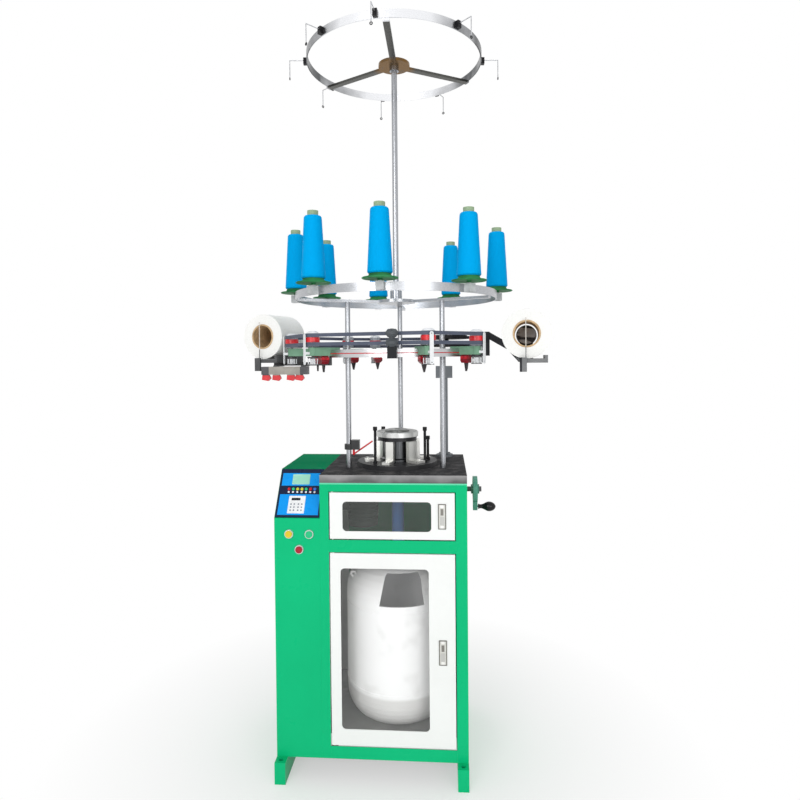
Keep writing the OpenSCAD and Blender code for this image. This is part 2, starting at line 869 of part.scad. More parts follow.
// Points of the barrel's outline from its foot to its mouth, drawn in by a wall
function barrel_outline(wall) = concat(
    [for (i = [0 : 8])
        let (a = i * 90 / 8)
        [barrel_foot_d / 2 - wall + (barrel_d - barrel_foot_d) / 2 * sin(a),
         z_floor + wall + (barrel_foot_h - wall) * (1 - cos(a))]],
    [for (i = [0 : 8])
        let (a = i * 90 / 8)
        [barrel_mouth_d / 2 - wall + (barrel_d - barrel_mouth_d) / 2 * cos(a),
         z_floor + barrel_wall_h + (barrel_dome_h - wall) * sin(a)]]
);

// Middle of the carrying lug on the barrel's shoulder
module lug_place() {
    out = barrel_mouth_d / 2 + (barrel_d - barrel_mouth_d) / 2 * cos(lug_up);
    rotate(lug_angle) translate([out, 0, z_floor + barrel_wall_h + barrel_dome_h * sin(lug_up) + lug_rise])
        rotate([90, 0, lug_turn]) children();
}

module barrel_lug() {
    lug_place() cylinder(d = lug_d, h = lug_t, center = true);
}

module barrel() {
    mouth_z = z_floor + barrel_wall_h + barrel_dome_h;
    mouth_h = 16;
    seam = [z_floor + barrel_foot_h + seam_up, z_floor + barrel_wall_h - seam_down];
    color("whitesmoke") on_axis() difference() {
        union() {
            rotate_extrude() polygon(concat([[0, z_floor]], barrel_outline(0),
                [[barrel_mouth_d / 2, mouth_z + mouth_h], [0, mouth_z + mouth_h]]));
            for (z = seam) translate([0, 0, z]) cylinder(d = barrel_d + 3, h = 4);
            barrel_lug();
        }
        rotate_extrude() polygon(concat([[0, z_floor + barrel_t]], barrel_outline(barrel_t),
            [[barrel_mouth_d / 2 - barrel_t, mouth_z + mouth_h + over], [0, mouth_z + mouth_h + over]]));
        translate([cut_shift, 0, z_floor + barrel_wall_h - cut_low]) rotate([90, 0, 0])
            linear_extrude(barrel_d) polygon(cut_outline);
        lug_place() cylinder(d = lug_hole_d, h = 4 * lug_t, center = true);
    }
}

module chute_tube() {
    flange_t = 4;
    color("royalblue") on_axis() {
        tube(sleeve_d + 8, chute_d - 2 * chute_t, z_gear_case - flange_t, flange_t);
        tube(chute_d, chute_d - 2 * chute_t, z_floor + barrel_wall_h + barrel_dome_h - 10,
             z_gear_case - z_floor - barrel_wall_h - barrel_dome_h + 10 - flange_t);
    }
}

// Plan of the gear case: its round body and the arms to the crank, the belt drive and the motor
module gear_case_plan() {
    circle(gear_case_r);
    rotate(column_angle) translate([0, -gear_arm_w / 2]) square([column_r, gear_arm_w]);
    rotate(column_angle) translate([column_r, 0]) circle(d = gear_arm_w);
    rotate(motor_angle) translate([0, -motor_pad_r]) square([motor_r, 2 * motor_pad_r]);
    rotate(motor_angle) translate([motor_r, 0]) circle(motor_pad_r);
    translate([0, crank_y - gear_arm_w / 2]) square([x_right - machine_x - 60, gear_arm_w]);
}

module gear_case() {
    color("slategray") on_axis() difference() {
        translate([0, 0, z_gear_case]) linear_extrude(gear_case_h) gear_case_plan();
        translate([0, 0, sleeve_foot - sleeve_gap]) cylinder(d = sleeve_d + 2 * sleeve_gap, h = gear_case_h);
        translate([0, 0, z_gear_case - over]) cylinder(d = cylinder_bore_d, h = gear_case_h);
        rotate(column_angle) translate([column_r, 0, z_gear_case + gear_case_h / 2])
            cylinder(d = drive_shaft_d + 2 * run_clear, h = gear_case_h);
        translate([40, crank_y, z_crank]) rotate([0, 90, 0])
            cylinder(d = crank_shaft_d + 2 * run_clear, h = cabinet_w);
    }
}

module drive_motor() {
    fins = 7;
    fin_t = 4;
    first = motor_foot_h + 6;
    fin_pitch = (motor_h - first - motor_flange_h - 8) / fins;
    color("dimgray") on_axis() rotate(motor_angle) translate([motor_r, 0, z_gear_case - motor_h]) {
        cylinder(d = motor_d - 16, h = motor_h);
        translate([0, 0, motor_h - motor_flange_h]) cylinder(d = motor_d, h = motor_flange_h);
        cylinder(d = motor_d - 6, h = motor_foot_h);
        for (i = [0 : fins - 1]) translate([0, 0, first + i * fin_pitch]) cylinder(d = motor_d, h = fin_t);
    }
}

module crank_wheel() {
    shaft_in = 90;
    dish = 3;
    nut_d = 17;
    nut_h = 7;
    color("mediumaquamarine") translate([crank_x, crank_y, z_crank]) rotate([0, 90, 0]) difference() {
        union() {
            cylinder(r = crank_wheel_r, h = crank_wheel_t);
            translate([0, -crank_boss_r, 0]) cube([crank_throw, 2 * crank_boss_r, crank_wheel_t]);
            translate([crank_throw, 0, 0]) cylinder(r = crank_boss_r, h = crank_wheel_t);
            translate([0, 0, -crank_hub_out])
                cylinder(d = crank_hub_d, h = crank_wheel_t + 2 * crank_hub_out);
            translate([0, 0, crank_wheel_t + crank_hub_out]) cylinder(d = nut_d, h = nut_h, $fn = 6);
            translate([0, 0, -crank_gap - shaft_in]) cylinder(d = crank_shaft_d, h = crank_gap + shaft_in);
            translate([crank_throw, 0, crank_wheel_t - over])
                cylinder(d = grip_pin_d, h = grip_len + grip_gap - 5 + over);
        }
        difference() {
            translate([0, 0, crank_wheel_t - dish]) cylinder(r = crank_wheel_r - 5, h = dish + over);
            translate([0, 0, crank_wheel_t - 2 * dish]) cylinder(d = crank_hub_d + 8, h = 3 * dish);
            translate([0, -crank_boss_r, 0]) cube([crank_throw, 2 * crank_boss_r, crank_wheel_t + over]);
        }
    }
}

module crank_grip() {
    z0 = crank_wheel_t + grip_gap;
    bore_r = grip_pin_d / 2 + run_clear;
    bulb = grip_len * 0.62;
    color("black") translate([crank_x, crank_y, z_crank]) rotate([0, 90, 0]) translate([crank_throw, 0, z0])
        rotate_extrude()
        polygon(concat(
            [[bore_r, 0], [grip_neck_d / 2 + 1.5, 0], [grip_neck_d / 2 + 1.5, 3], [grip_neck_d / 2, 6]],
            [for (i = [0 : 8])
                let (u = i / 8)
                [grip_neck_d / 2 + (grip_d - grip_neck_d) / 2 * (1 - cos(180 * u)) / 2, 9 + (bulb - 9) * u]],
            [for (i = [1 : 8])
                let (a = i * 90 / 8)
                [max(grip_d / 2 * cos(a), 3), bulb + (grip_len - bulb) * sin(a)]],
            [[0, grip_len], [0, grip_len - 4], [bore_r, grip_len - 4]]
        ));
}

// Knitting head

module head_base() {
    r = head_base_d / 2;
    bore_r = sleeve_d / 2 + run_clear;
    color("black") on_axis() rotate_extrude() polygon([
        [bore_r, z_cabinet_top], [r, z_cabinet_top], [r, z_table - 1], [r - 3, z_head], [bore_r, z_head]
    ]);
}

module needle_cylinder() {
    r = cylinder_d / 2;
    bore_r = cylinder_bore_d / 2;
    z_shelf = z_head + cylinder_h / 3;
    z_slot = z_head + sleeve_rise + 12;
    color("darkslategray") on_axis() {
        difference() {
            rotate_extrude() polygon([
                [bore_r, sleeve_foot], [sleeve_d / 2, sleeve_foot], [sleeve_d / 2, z_head + sleeve_rise],
                [r, z_head + sleeve_rise + 4], [r, z_cylinder_top - 2], [r - 2, z_cylinder_top],
                [r - cylinder_wall, z_cylinder_top], [r - cylinder_wall, z_shelf + 10], [bore_r, z_shelf]
            ]);
            for (i = [0 : needle_slots - 1]) rotate(i * 360 / needle_slots)
                translate([r - slot_depth, -slot_w / 2, z_slot]) cube([2 * slot_depth, slot_w, cylinder_h]);
        }
        for (i = [0 : needle_slots - 1]) rotate(i * 360 / needle_slots)
            block([r - slot_depth - over, -needle_w / 2, z_slot + 2],
                  [r - needle_in, needle_w / 2, z_cylinder_top + needle_rise]);
    }
}

module cam_ring() {
    r = cam_ring_d / 2;
    dial_r = dial_d / 2;
    eye_r = 9;
    bore_r = cylinder_d / 2 + cam_gap;
    z_step = z_cam_ring + cam_step_h;
    z_dial = z_cam_ring + cam_ring_h;
    color("lightgray") on_axis() rotate_extrude() polygon([
        [eye_r, z_dial - cam_plate_t], [bore_r, z_dial - cam_plate_t], [bore_r, z_cam_ring],
        [r - cam_step, z_cam_ring], [r - cam_step, z_step], [r, z_step], [r, z_dial - 3], [r - 3, z_dial],
        [dial_r, z_dial], [dial_r, z_dial + dial_h / 2], [dial_r - 8, z_dial + dial_h],
        [eye_r, z_dial + dial_h]
    ]);
}

module head_brackets() {
    out_r = bracket_in_r + bracket_foot;
    color("gainsboro") for (b = brackets) on_axis() rotate(b[0]) {
        block([bracket_in_r, -b[1] / 2, z_head], [bracket_in_r + bracket_depth, b[1] / 2, z_cam_ring]);
        block([bracket_in_r, -b[1] / 2, z_head], [out_r, b[1] / 2, z_head + bracket_t]);
        translate([out_r - bracket_screw_d, 0, z_head])
            cylinder(d = bracket_screw_d, h = bracket_t + 5, $fn = 6);
    }
}

module head_posts() {
    color("black") for (p = posts) on_axis() rotate(p[0]) {
        top = z_head + post_h * p[1];
        translate([post_circle_r, 0, z_head]) cylinder(d = post_d, h = post_h * p[1] - knob_h);
        translate([post_circle_r, 0, top - knob_h]) cylinder(d = knob_d, h = knob_h);
        translate([post_circle_r, 0, z_head]) cylinder(d = knob_d, h = 8);
    }
}

module air_valve() {
    size = [26, 24, 31];
    valve_z = z_table + 60;
    clamp_d = pillar_d + 12;
    tube_d = 5;
    base = [machine_x + pillar_circle_r * cos(spoke_angles[2]),
            pillar_circle_r * sin(spoke_angles[2]), valve_z];
    tip = [machine_x + post_circle_r * cos(posts[0][0]) - post_d,
           post_circle_r * sin(posts[0][0]), z_table + 88];
    elbow = base + [16, 0, -16];
    color("black") {
        difference() {
            union() {
                translate(base) cylinder(d = clamp_d, h = 18);
                translate(base + [pillar_d / 2 + 1, -size[1] / 2, 0]) cube(size);
            }
            translate(base - [0, 0, over]) cylinder(d = pillar_d + 2 * run_clear, h = size[2] + 2 * over);
        }
        translate(elbow) cylinder(d = tube_d + 3, h = 16);
        translate(elbow) sphere(d = tube_d + 3);
        rod(elbow, tip, tube_d);
    }
}

// Pillars, creel, mast and overhead ring

module pillars() {
    color("lightsteelblue") for (a = spoke_angles) polar(a, pillar_circle_r) translate([0, 0, z_table])
        cylinder(d = pillar_d, h = pillar_h);
}

// Ring with three spokes and a hub plate
module spoked_ring(d, z, angles, hub_d, hub_t) {
    band(d, band_t, band_h, z + spoke_t);
    for (a = angles) rotate(a) block([0, -spoke_w / 2, z], [d / 2 - band_t / 2, spoke_w / 2, z + spoke_t]);
    translate([0, 0, z]) cylinder(d = hub_d, h = hub_t);
}

module creel_frame() {
    color("silver") on_axis() spoked_ring(creel_ring_d, z_creel, spoke_angles, creel_hub_d, creel_hub_t);
}

module mast() {
    color("silver") on_axis() {
        translate([0, 0, z_mast]) cylinder(d = mast_d, h = mast_h);
        translate([0, 0, z_mast]) cylinder(d = mast_collar_d, h = mast_collar_h);
        translate([0, 0, z_top - 14]) cylinder(d = mast_d + 12, h = 14);
    }
}

module top_ring() {
    color("silver") on_axis() spoked_ring(top_ring_d, z_top, top_spoke_angles, top_hub_d, spoke_t + 2);
}

module guide_hooks() {
    r = top_ring_d / 2;
    z_wire = z_top_band + band_h / 2 + 3;
    tip_r = r + hook_clamp[0] + hook_reach;
    color("dimgray") for (a = hook_angles) on_axis() rotate(a) {
        difference() {
            block([r - over, -hook_clamp[1] / 2, z_top_band + (band_h - hook_clamp[2]) / 2],
                  [r + hook_clamp[0], hook_clamp[1] / 2, z_top_band + (band_h + hook_clamp[2]) / 2]);
            translate([0, 0, z_top_band - over]) cylinder(r = r, h = band_h + 2 * over);
        }
        rod([r + hook_clamp[0] - over, 0, z_wire], [tip_r, 0, z_wire], hook_wire_d);
        translate([tip_r, 0, z_wire]) sphere(d = hook_wire_d);
        rod([tip_r, 0, z_wire], [tip_r, 0, z_wire - hook_drop], hook_wire_d);
        translate([tip_r, 0, z_wire - hook_drop - hook_eye_r]) eye(hook_eye_r, hook_wire_d);
    }
}

module cone_holders() {
    color("seagreen") for (a = cone_angles) polar(a, cone_circle_r) {
        difference() {
            block([creel_ring_d / 2 - cone_circle_r - over, -clamp_block / 2, z_creel_band],
                  [creel_ring_d / 2 - cone_circle_r + clamp_block, clamp_block / 2, z_creel_top]);
            translate([-cone_circle_r, 0, z_creel_band - over])
                cylinder(d = creel_ring_d, h = band_h + 2 * over);
        }
        translate([0, 0, z_creel_top - over]) cylinder(d = 14, h = disc_rise + 2 * over);
        translate([0, 0, z_disc]) rotate_extrude() polygon([
            [0, 0], [disc_d / 2 - 2, 0], [disc_d / 2, disc_t / 2], [disc_d / 2 - 2, disc_t],
            [yarn_base_d / 2, disc_t], [yarn_base_d / 2 - 6, disc_t + seat_h], [0, disc_t + seat_h]
        ]);
    }
}

module cone_tubes() {
    color("darkseagreen") for (a = cone_angles) polar(a, cone_circle_r)
        tube(tube_d, tube_d - 2 * tube_t, z_seat, yarn_h + tube_over);
}

module yarn_cones() {
    base_r = yarn_base_d / 2;
    top_r = yarn_top_d / 2;
    bore_r = tube_d / 2 + seat_clear / 2;
    color("deepskyblue") for (a = cone_angles) polar(a, cone_circle_r) translate([0, 0, z_seat])
        rotate_extrude()
        polygon(concat(
            [[bore_r, 0], [base_r - 3, 0], [base_r, 4]],
            [for (i = [0 : 4])
                let (b = i * 90 / 4)
                [top_r - yarn_shoulder * 0.6 * (1 - cos(b)), yarn_h - yarn_shoulder * (1 - sin(b))]],
            [[bore_r, yarn_h]]
        ));
}

// Feeder ring, belts and feeders

module feeder_ring() {
    color("silver") {
        on_axis() band(feeder_ring_d, band_t, band_h, z_feeder_ring);
        for (a = spoke_angles) on_axis() rotate(a) difference() {
            union() {
                translate([pillar_circle_r, 0, z_feeder_ring]) cylinder(d = collar_d, h = collar_h);
                block([pillar_circle_r, -arm_w / 2, z_feeder_ring],
                      [ring_in_r + band_t / 2, arm_w / 2, z_feeder_ring + collar_h / 2]);
            }
            translate([pillar_circle_r, 0, z_feeder_ring - over])
                cylinder(d = pillar_d + 2 * run_clear, h = collar_h + 2 * over);
        }
    }
}

// Plan of a belt's inner face around the feeders and the drive pulley, grown outwards
module belt_plan(grow) {
    hull() {
        for (f = feeders) rotate(f[0]) translate([f[1], 0]) circle(pulley_d / 2 + seat_clear + grow);
        rotate(column_angle) translate([column_r, 0]) circle(drive_pulley_d / 2 + seat_clear + grow);
    }
}

module belt(z) {
    on_axis() translate([0, 0, z]) linear_extrude(belt_w) difference() {
        belt_plan(belt_t);
        belt_plan(0);
    }
}

module upper_belt() {
    color("slategray") belt(z_upper_belt);
}

module lower_belt() {
    color("slategray") belt(z_lower_belt);
}

// Slot that seats a piece over the feeder ring
module ring_slot() {
    translate([0, 0, z_feeder_ring - band_h]) difference() {
        cylinder(r = ring_out_r + seat_clear, h = 2 * band_h);
        translate([0, 0, -over]) cylinder(r = ring_in_r - seat_clear, h = 2 * band_h + 2 * over);
    }
}

module feeder_housings() {
    tail_r = ring_out_r - housing_tail;
    color("darkseagreen") on_axis() for (f = feeders) difference() {
        rotate(f[0]) union() {
            block([tail_r, -housing_w / 2, z_housing], [f[1], housing_w / 2, z_housing_top]);
            translate([f[1], 0, z_housing]) cylinder(r = housing_nose_r, h = housing_h);
            translate([tail_r, 0, z_housing + 4]) cylinder(d = housing_w - 6, h = housing_h - 4);
        }
        ring_slot();
        rotate(f[0]) translate([f[1], 0, z_housing - over])
            cylinder(d = rotor_shaft_d + 2 * run_clear, h = housing_h + 2 * over);
    }
}

module stop_motions() {
    w = stop_block[1] / 2;
    h = stop_block[2];
    color("darkred") on_axis() for (f = feeders) rotate(f[0])
        translate([stop_r, 0, z_housing - stop_block[2]]) rotate([90, 0, 90]) {
        translate([0, 0, -stop_block[0] / 2]) linear_extrude(stop_block[0])
            polygon([[stop_corner - w, 0], [w - stop_corner, 0], [w, stop_corner], [w, h - stop_corner],
                     [w - stop_corner, h], [stop_corner - w, h], [-w, h - stop_corner], [-w, stop_corner]]);
        translate([0, 0, -feeler_t / 2]) linear_extrude(feeler_t)
            polygon([[stop_corner - w, over], [w - stop_corner, over], [2, -feeler_h], [-2, -feeler_h]]);
    }
}

module feeder_guides() {
    z_arm = z_housing + 4;
    arm_h = 8;
    color("gainsboro") on_axis() for (f = feeders) rotate(f[0]) translate([f[1], 0, 0]) {
        difference() {
            block([0, -guide_w / 2, z_arm], [guide_r + over, guide_w / 2, z_arm + arm_h]);
            translate([0, 0, z_arm - over]) cylinder(r = housing_nose_r, h = arm_h + 2 * over);
        }
        translate([guide_r, 0, 0]) rotate([90, 0, 90]) linear_extrude(guide_t) difference() {
            union() {
                translate([-guide_w / 2, z_arm - guide_down])
                    square([guide_w, z_housing_top + guide_up - z_arm + guide_down]);
                for (z = [z_arm - guide_down, z_housing_top + guide_up]) translate([0, z])
                    circle(d = guide_w);
            }
            for (z = [z_arm - guide_down, z_housing_top + guide_up]) translate([0, z]) circle(guide_eye_r);
        }
    }
}

// Turned rotor of a feeder: yarn drum below the housing, pulleys and collar above it
module feeder_rotor(i) {
    z0 = z_drum_top - drum_h;
    z_cap = z_upper_pulley + pulley_h;
    collar_low = z_lower_pulley + pulley_h;
    pin_r = drum_d / 2 - drum_pin_d / 2 - 0.5;
    shaft_r = rotor_shaft_d / 2;
    polar(feeders[i][0], feeders[i][1]) {
        rotate_extrude() polygon([
            [0, z0], [drum_d / 2, z0], [drum_d / 2, z0 + drum_flange_t], [drum_d / 4, z0 + drum_flange_t + 2],
            [drum_d / 4, z_drum_top - drum_flange_t - 2], [drum_d / 2, z_drum_top - drum_flange_t],
            [drum_d / 2, z_drum_top], [shaft_r, z_drum_top], [shaft_r, z_lower_pulley],
            [pulley_d / 2, z_lower_pulley], [pulley_d / 2, collar_low],
            [pulley_collar_d / 2, collar_low + 0.5], [pulley_collar_d / 2, z_upper_pulley - 0.5],
            [pulley_d / 2, z_upper_pulley], [pulley_d / 2, z_cap],
            [pulley_d / 2 - 5, z_cap + rotor_cap_h - 2], [pulley_d / 4, z_cap + rotor_cap_h],
            [0, z_cap + rotor_cap_h]
        ]);
        for (k = [0 : drum_pins - 1]) rotate(k * 360 / drum_pins)
            translate([pin_r, 0, z0 + over]) cylinder(d = drum_pin_d, h = drum_h - 2 * over);
    }
}

module feeder_rotor_1() {
    color("red") feeder_rotor(0);
}

module feeder_rotor_2() {
    color("red") feeder_rotor(1);
}

module feeder_rotor_3() {
    color("red") feeder_rotor(2);
}

module feeder_rotor_4() {
    color("red") feeder_rotor(3);
}

module feeder_rotor_5() {
    color("red") feeder_rotor(4);
}

module feeder_rotor_6() {
    color("red") feeder_rotor(5);
}

module feeder_rotor_7() {
    color("red") feeder_rotor(6);
}

module feeder_rotor_8() {
    color("red") feeder_rotor(7);
}

module tension_bracket() {
    color("dimgray") on_axis() difference() {
        rotate(tension_angle) {
            block([ring_in_r - 10, -tension_block_w / 2, z_tension_block],
                  [tension_far + tension_axle_d, tension_block_w / 2, z_housing_top - 2]);
            translate([tension_far, 0, z_tension_block])
                cylinder(d = tension_axle_d, h = z_tension_top - z_tension_block);
        }
        ring_slot();
    }
}

module tension_pulley() {
    bore_r = tension_axle_d / 2 + run_clear;
    r = tension_d / 2;
    z_mid = [z_lower_belt + belt_w / 2, z_upper_belt + belt_w / 2];
    half = tension_disc_h / 2;
    flat = belt_w / 2 - 2;
    spacer_r = bore_r + 4;
    color("darkslategray") polar(tension_angle, tension_far) rotate_extrude() polygon([
        [bore_r, z_housing_top - 1.5], [spacer_r, z_housing_top - 1.5], [spacer_r, z_mid[0] - half],
        [r - 7, z_mid[0] - half], [r, z_mid[0] - flat], [r, z_mid[0] + flat], [r - 7, z_mid[0] + half],
        [spacer_r, z_mid[0] + half], [spacer_r, z_mid[1] - half], [r - 7, z_mid[1] - half],
        [r, z_mid[1] - flat], [r, z_mid[1] + flat], [r - 7, z_mid[1] + half], [bore_r, z_mid[1] + half]
    ]);
}

module drive_column() {
    color("lightslategray") polar(column_angle, column_r) rotate(-column_angle) difference() {
        union() {
            translate([0, 0, z_table]) cylinder(d = column_flange_d, h = column_flange_t);
            translate([0, 0, z_table]) cylinder(d = column_d, h = column_h);
            block([-column_block_w / 2, -column_block_d / 2, z_column_block],
                  [column_block_w / 2, column_block_d / 2, z_column_block + column_block_h]);
            for (a = [45 : 90 : 315]) rotate(a) translate([column_flange_d / 2 - 7, 0, z_table])
                cylinder(d = 9, h = column_flange_t + 4, $fn = 6);
        }
        translate([0, 0, z_table - over]) cylinder(d = drive_shaft_d + sleeve_gap, h = column_h + over);
        translate([0, 0, z_table])
            cylinder(d = drive_shaft_d + 2 * run_clear, h = column_h + column_block_h + over);
    }
}

module belt_drive_shaft() {
    foot = z_gear_case + gear_case_h / 2;
    top = z_upper_pulley + pulley_h + 8;
    r = drive_pulley_d / 2;
    shaft_r = drive_shaft_d / 2;
    web = 3;
    color("black") polar(column_angle, column_r) rotate_extrude() polygon([
        [0, foot + seat_clear], [shaft_r, foot + seat_clear], [shaft_r, z_lower_pulley], [r, z_lower_pulley],
        [r, z_lower_pulley + pulley_h], [r - 8, z_lower_pulley + pulley_h], [r - 8, z_lower_pulley + web],
        [shaft_r + 12, z_lower_pulley + web], [shaft_r + 12, z_upper_pulley], [r, z_upper_pulley],
        [r, z_upper_pulley + pulley_h], [r - 8, z_upper_pulley + pulley_h], [r - 8, z_upper_pulley + web],
        [shaft_r + 12, z_upper_pulley + web], [shaft_r + 12, top - 8], [shaft_r, top], [0, top]
    ]);
}

// Elastic rolls and what carries them

// Places its children with +Z along a roll's axis, from the roll's near end
module on_roll(r) {
    translate([machine_x + r[0], r[1], z_feeder_ring + r[2]]) rotate([-90, 0, -r[3]]) children();
}

module elastic_rolls() {
    bore = core_bore_d + 2 * core_t + seat_clear;
    color("white") for (r = rolls) on_roll(r) difference() {
        cylinder(d = roll_d, h = roll_len);
        translate([0, 0, -over]) cylinder(d = bore, h = roll_len + 2 * over);
    }
}

module roll_cores() {
    proud = 2;
    color("burlywood") for (r = rolls) on_roll(r) translate([0, 0, -proud]) difference() {
        cylinder(d = core_bore_d + 2 * core_t, h = roll_len + 2 * proud);
        translate([0, 0, -over]) cylinder(d = core_bore_d, h = roll_len + 2 * proud + 2 * over);
    }
}

// Way in plan from the machine's axis to the middle of a roll
function roll_way(r) = [
    r[0] + sin(r[3]) * roll_len / 2,
    r[1] + cos(r[3]) * roll_len / 2
];

// Underside of a roll's tray
function tray_low(r) = z_feeder_ring + r[2] - roll_seat_r - tray_t;

// Tray under a roll, with a lip, a rear holder with its hub, and a plate and rod in front
module roll_tray(r) {
    back = roll_len + tray_over;
    on_roll(r) {
        block([-tray_left, roll_seat_r, -tray_over], [tray_right, roll_seat_r + tray_t, back]);
        block([tray_right - over, roll_seat_r - tray_lip_h, -tray_over],
              [tray_right + tray_lip, roll_seat_r + tray_t, back]);
        block([-tray_left, 0, back - holder_t], [tray_left, roll_seat_r + over, back]);
        translate([0, 0, back - holder_t]) cylinder(r = holder_r, h = holder_t);
        translate([0, 0, roll_len - hub_len]) cylinder(d = hub_d, h = hub_len + tray_over - over);
        block([-rod_plate_w, roll_seat_r - 4, -tray_over - holder_t],
              [0, roll_seat_r - 4 + rod_plate_h, -tray_over + over]);
        translate([-guide_rod_d, roll_seat_r + tray_t, -tray_over - holder_t / 2]) rotate([90, 0, 0])
            cylinder(d = guide_rod_d, h = roll_seat_r + tray_t + guide_rod_up);
    }
}

// Cuts the feeder ring's band out of what is clamped on it
module off_ring() {
    difference() {
        on_axis() children();
        on_axis() translate([0, 0, z_feeder_ring - over]) difference() {
            cylinder(r = ring_out_r + seat_clear, h = band_h + 2 * over);
            translate([0, 0, -over]) cylinder(r = ring_in_r - seat_clear, h = band_h + 4 * over);
        }
    }
}

// Level arm from the feeder ring to the middle of a roll's tray
module level_arm(r) {
    way = roll_way(r);
    top = tray_low(r) + over;
    low = top - roll_arm[1];
    off_ring() rotate(atan2(way[1], way[0])) {
        block([ring_in_r - 8, -roll_arm[0] / 2, low], [norm(way), roll_arm[0] / 2, top]);
        block([ring_in_r - 8, -roll_arm[0] / 2, low], [ring_out_r + 10, roll_arm[0] / 2, z_ring_top - 5]);
    }
}

// Post outside the belts, and the sloping arm from its top to a roll's rear holder
module sloping_arm(r) {
    post_top = z_feeder_ring + r[2] + slope_rise;
    bend = [-tray_left - 34, roll_seat_r / 2];
    off_ring() rotate(post_angle) {
        block([ring_in_r - 8, -arm_clamp_w / 2, z_feeder_ring - 8],
              [ring_out_r + 10, arm_clamp_w / 2, z_ring_top + 5]);
        block([ring_out_r, -arm_clamp_w / 2, z_feeder_ring + 2],
              [post_in_r + post_w, arm_clamp_w / 2, z_ring_top - 3]);
        block([post_in_r, -arm_clamp_w / 2, z_feeder_ring + 2],
              [post_in_r + post_w, arm_clamp_w / 2, post_top]);
    }
    on_roll(r) translate([0, 0, roll_len + tray_over - holder_t]) linear_extrude(holder_t) polygon([
        [slope_start, -slope_rise], [slope_start + slope_w, -slope_rise], bend + [slope_w / 2, -slope_w / 2],
        [-tray_left + over, roll_seat_r - slope_w], [-tray_left + over, roll_seat_r + tray_t - over],
        [-tray_left - 4, roll_seat_r + tray_t - over], bend + [-slope_w / 2, slope_w / 2],
        [slope_start, slope_w - slope_rise]
    ]);
}

module roll_brackets() {
    way = roll_way(rolls[0]);
    color("gray") {
        for (r = rolls) roll_tray(r);
        level_arm(rolls[0]);
        sloping_arm(rolls[1]);
        for (x = [detector_x + strap_in, detector_x + detector[0] - 2 * strap[0]])
            block([x, detector_y + strap[0] / 2, z_strap - strap[1]],
                  [x + strap[0], (x - machine_x) * way[1] / way[0], z_strap]);
    }
}

module yarn_detectors() {
    z1 = z_strap - strap[1];
    z0 = z1 - detector[2];
    y0 = detector_y;
    color("darkgray") {
        block([detector_x, y0, z0], [detector_x + detector[0], y0 + detector[1], z1]);
        for (x = paddle_steps) translate([detector_x + x, y0 + 6 + paddle[1], z0 - paddle[2]])
            rotate([90, 0, 0]) linear_extrude(paddle[1])
                polygon([[0, 4], [22, 0], [paddle[0], 9], [24, paddle[2] + over], [2, paddle[2] + over]]);
    }
}

foot_rails();
cabinet_shell();
rear_covers();
control_box_cover();
control_panel();
button_bezels();
barrel();
chute_tube();
table_plate();
gear_case();
drive_motor();
pillars();
creel_frame();
cone_holders();
cone_tubes();
yarn_cones();
mast();
top_ring();
guide_hooks();
feeder_ring();
upper_belt();
lower_belt();
feeder_housings();
stop_motions();
feeder_guides();
tension_bracket();
roll_brackets();
elastic_rolls();
roll_cores();
yarn_detectors();
head_base();
cam_ring();
head_brackets();
head_posts();
drive_column();
air_valve();
upper_door();
upper_window();
upper_latch();
upper_latch_button();
lower_door();
lower_window();
lower_latch();
lower_latch_button();
yellow_button();
green_button();
red_button();
crank_wheel();
crank_grip();
needle_cylinder();
belt_drive_shaft();
tension_pulley();
feeder_rotor_1();
feeder_rotor_2();
feeder_rotor_3();
feeder_rotor_4();
feeder_rotor_5();
feeder_rotor_6();
feeder_rotor_7();
feeder_rotor_8();
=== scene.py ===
"""Looks of the hair tie making machine: materials, small trim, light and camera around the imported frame."""

import math

import bmesh
import bpy
from mathutils import Matrix, Vector


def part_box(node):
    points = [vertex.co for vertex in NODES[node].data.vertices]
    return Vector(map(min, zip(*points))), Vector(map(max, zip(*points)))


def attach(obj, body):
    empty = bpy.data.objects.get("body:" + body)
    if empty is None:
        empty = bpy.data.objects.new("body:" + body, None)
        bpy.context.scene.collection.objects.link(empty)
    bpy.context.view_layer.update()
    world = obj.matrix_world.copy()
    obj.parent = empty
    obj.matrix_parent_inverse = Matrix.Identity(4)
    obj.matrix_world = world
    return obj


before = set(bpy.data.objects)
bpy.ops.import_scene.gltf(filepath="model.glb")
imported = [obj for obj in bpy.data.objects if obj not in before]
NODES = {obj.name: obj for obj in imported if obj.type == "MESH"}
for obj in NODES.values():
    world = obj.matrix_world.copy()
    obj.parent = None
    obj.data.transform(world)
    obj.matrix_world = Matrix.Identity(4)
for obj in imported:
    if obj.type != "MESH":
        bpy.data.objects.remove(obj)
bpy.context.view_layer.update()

BASE = "machine"


# Colours and sizes that several parts share

def srgb(red, green, blue):
    """A colour given as 0 to 255 screen values, as the linear values that shaders take."""
    def linear(value):
        share = value / 255
        return share / 12.92 if share <= 0.04045 else ((share + 0.055) / 1.055) ** 2.4
    return (linear(red), linear(green), linear(blue), 1.0)


def shade(colour, factor):
    """A colour made darker or lighter by a factor."""
    return tuple(min(1.0, c * factor) for c in colour[:3]) + (1.0,)


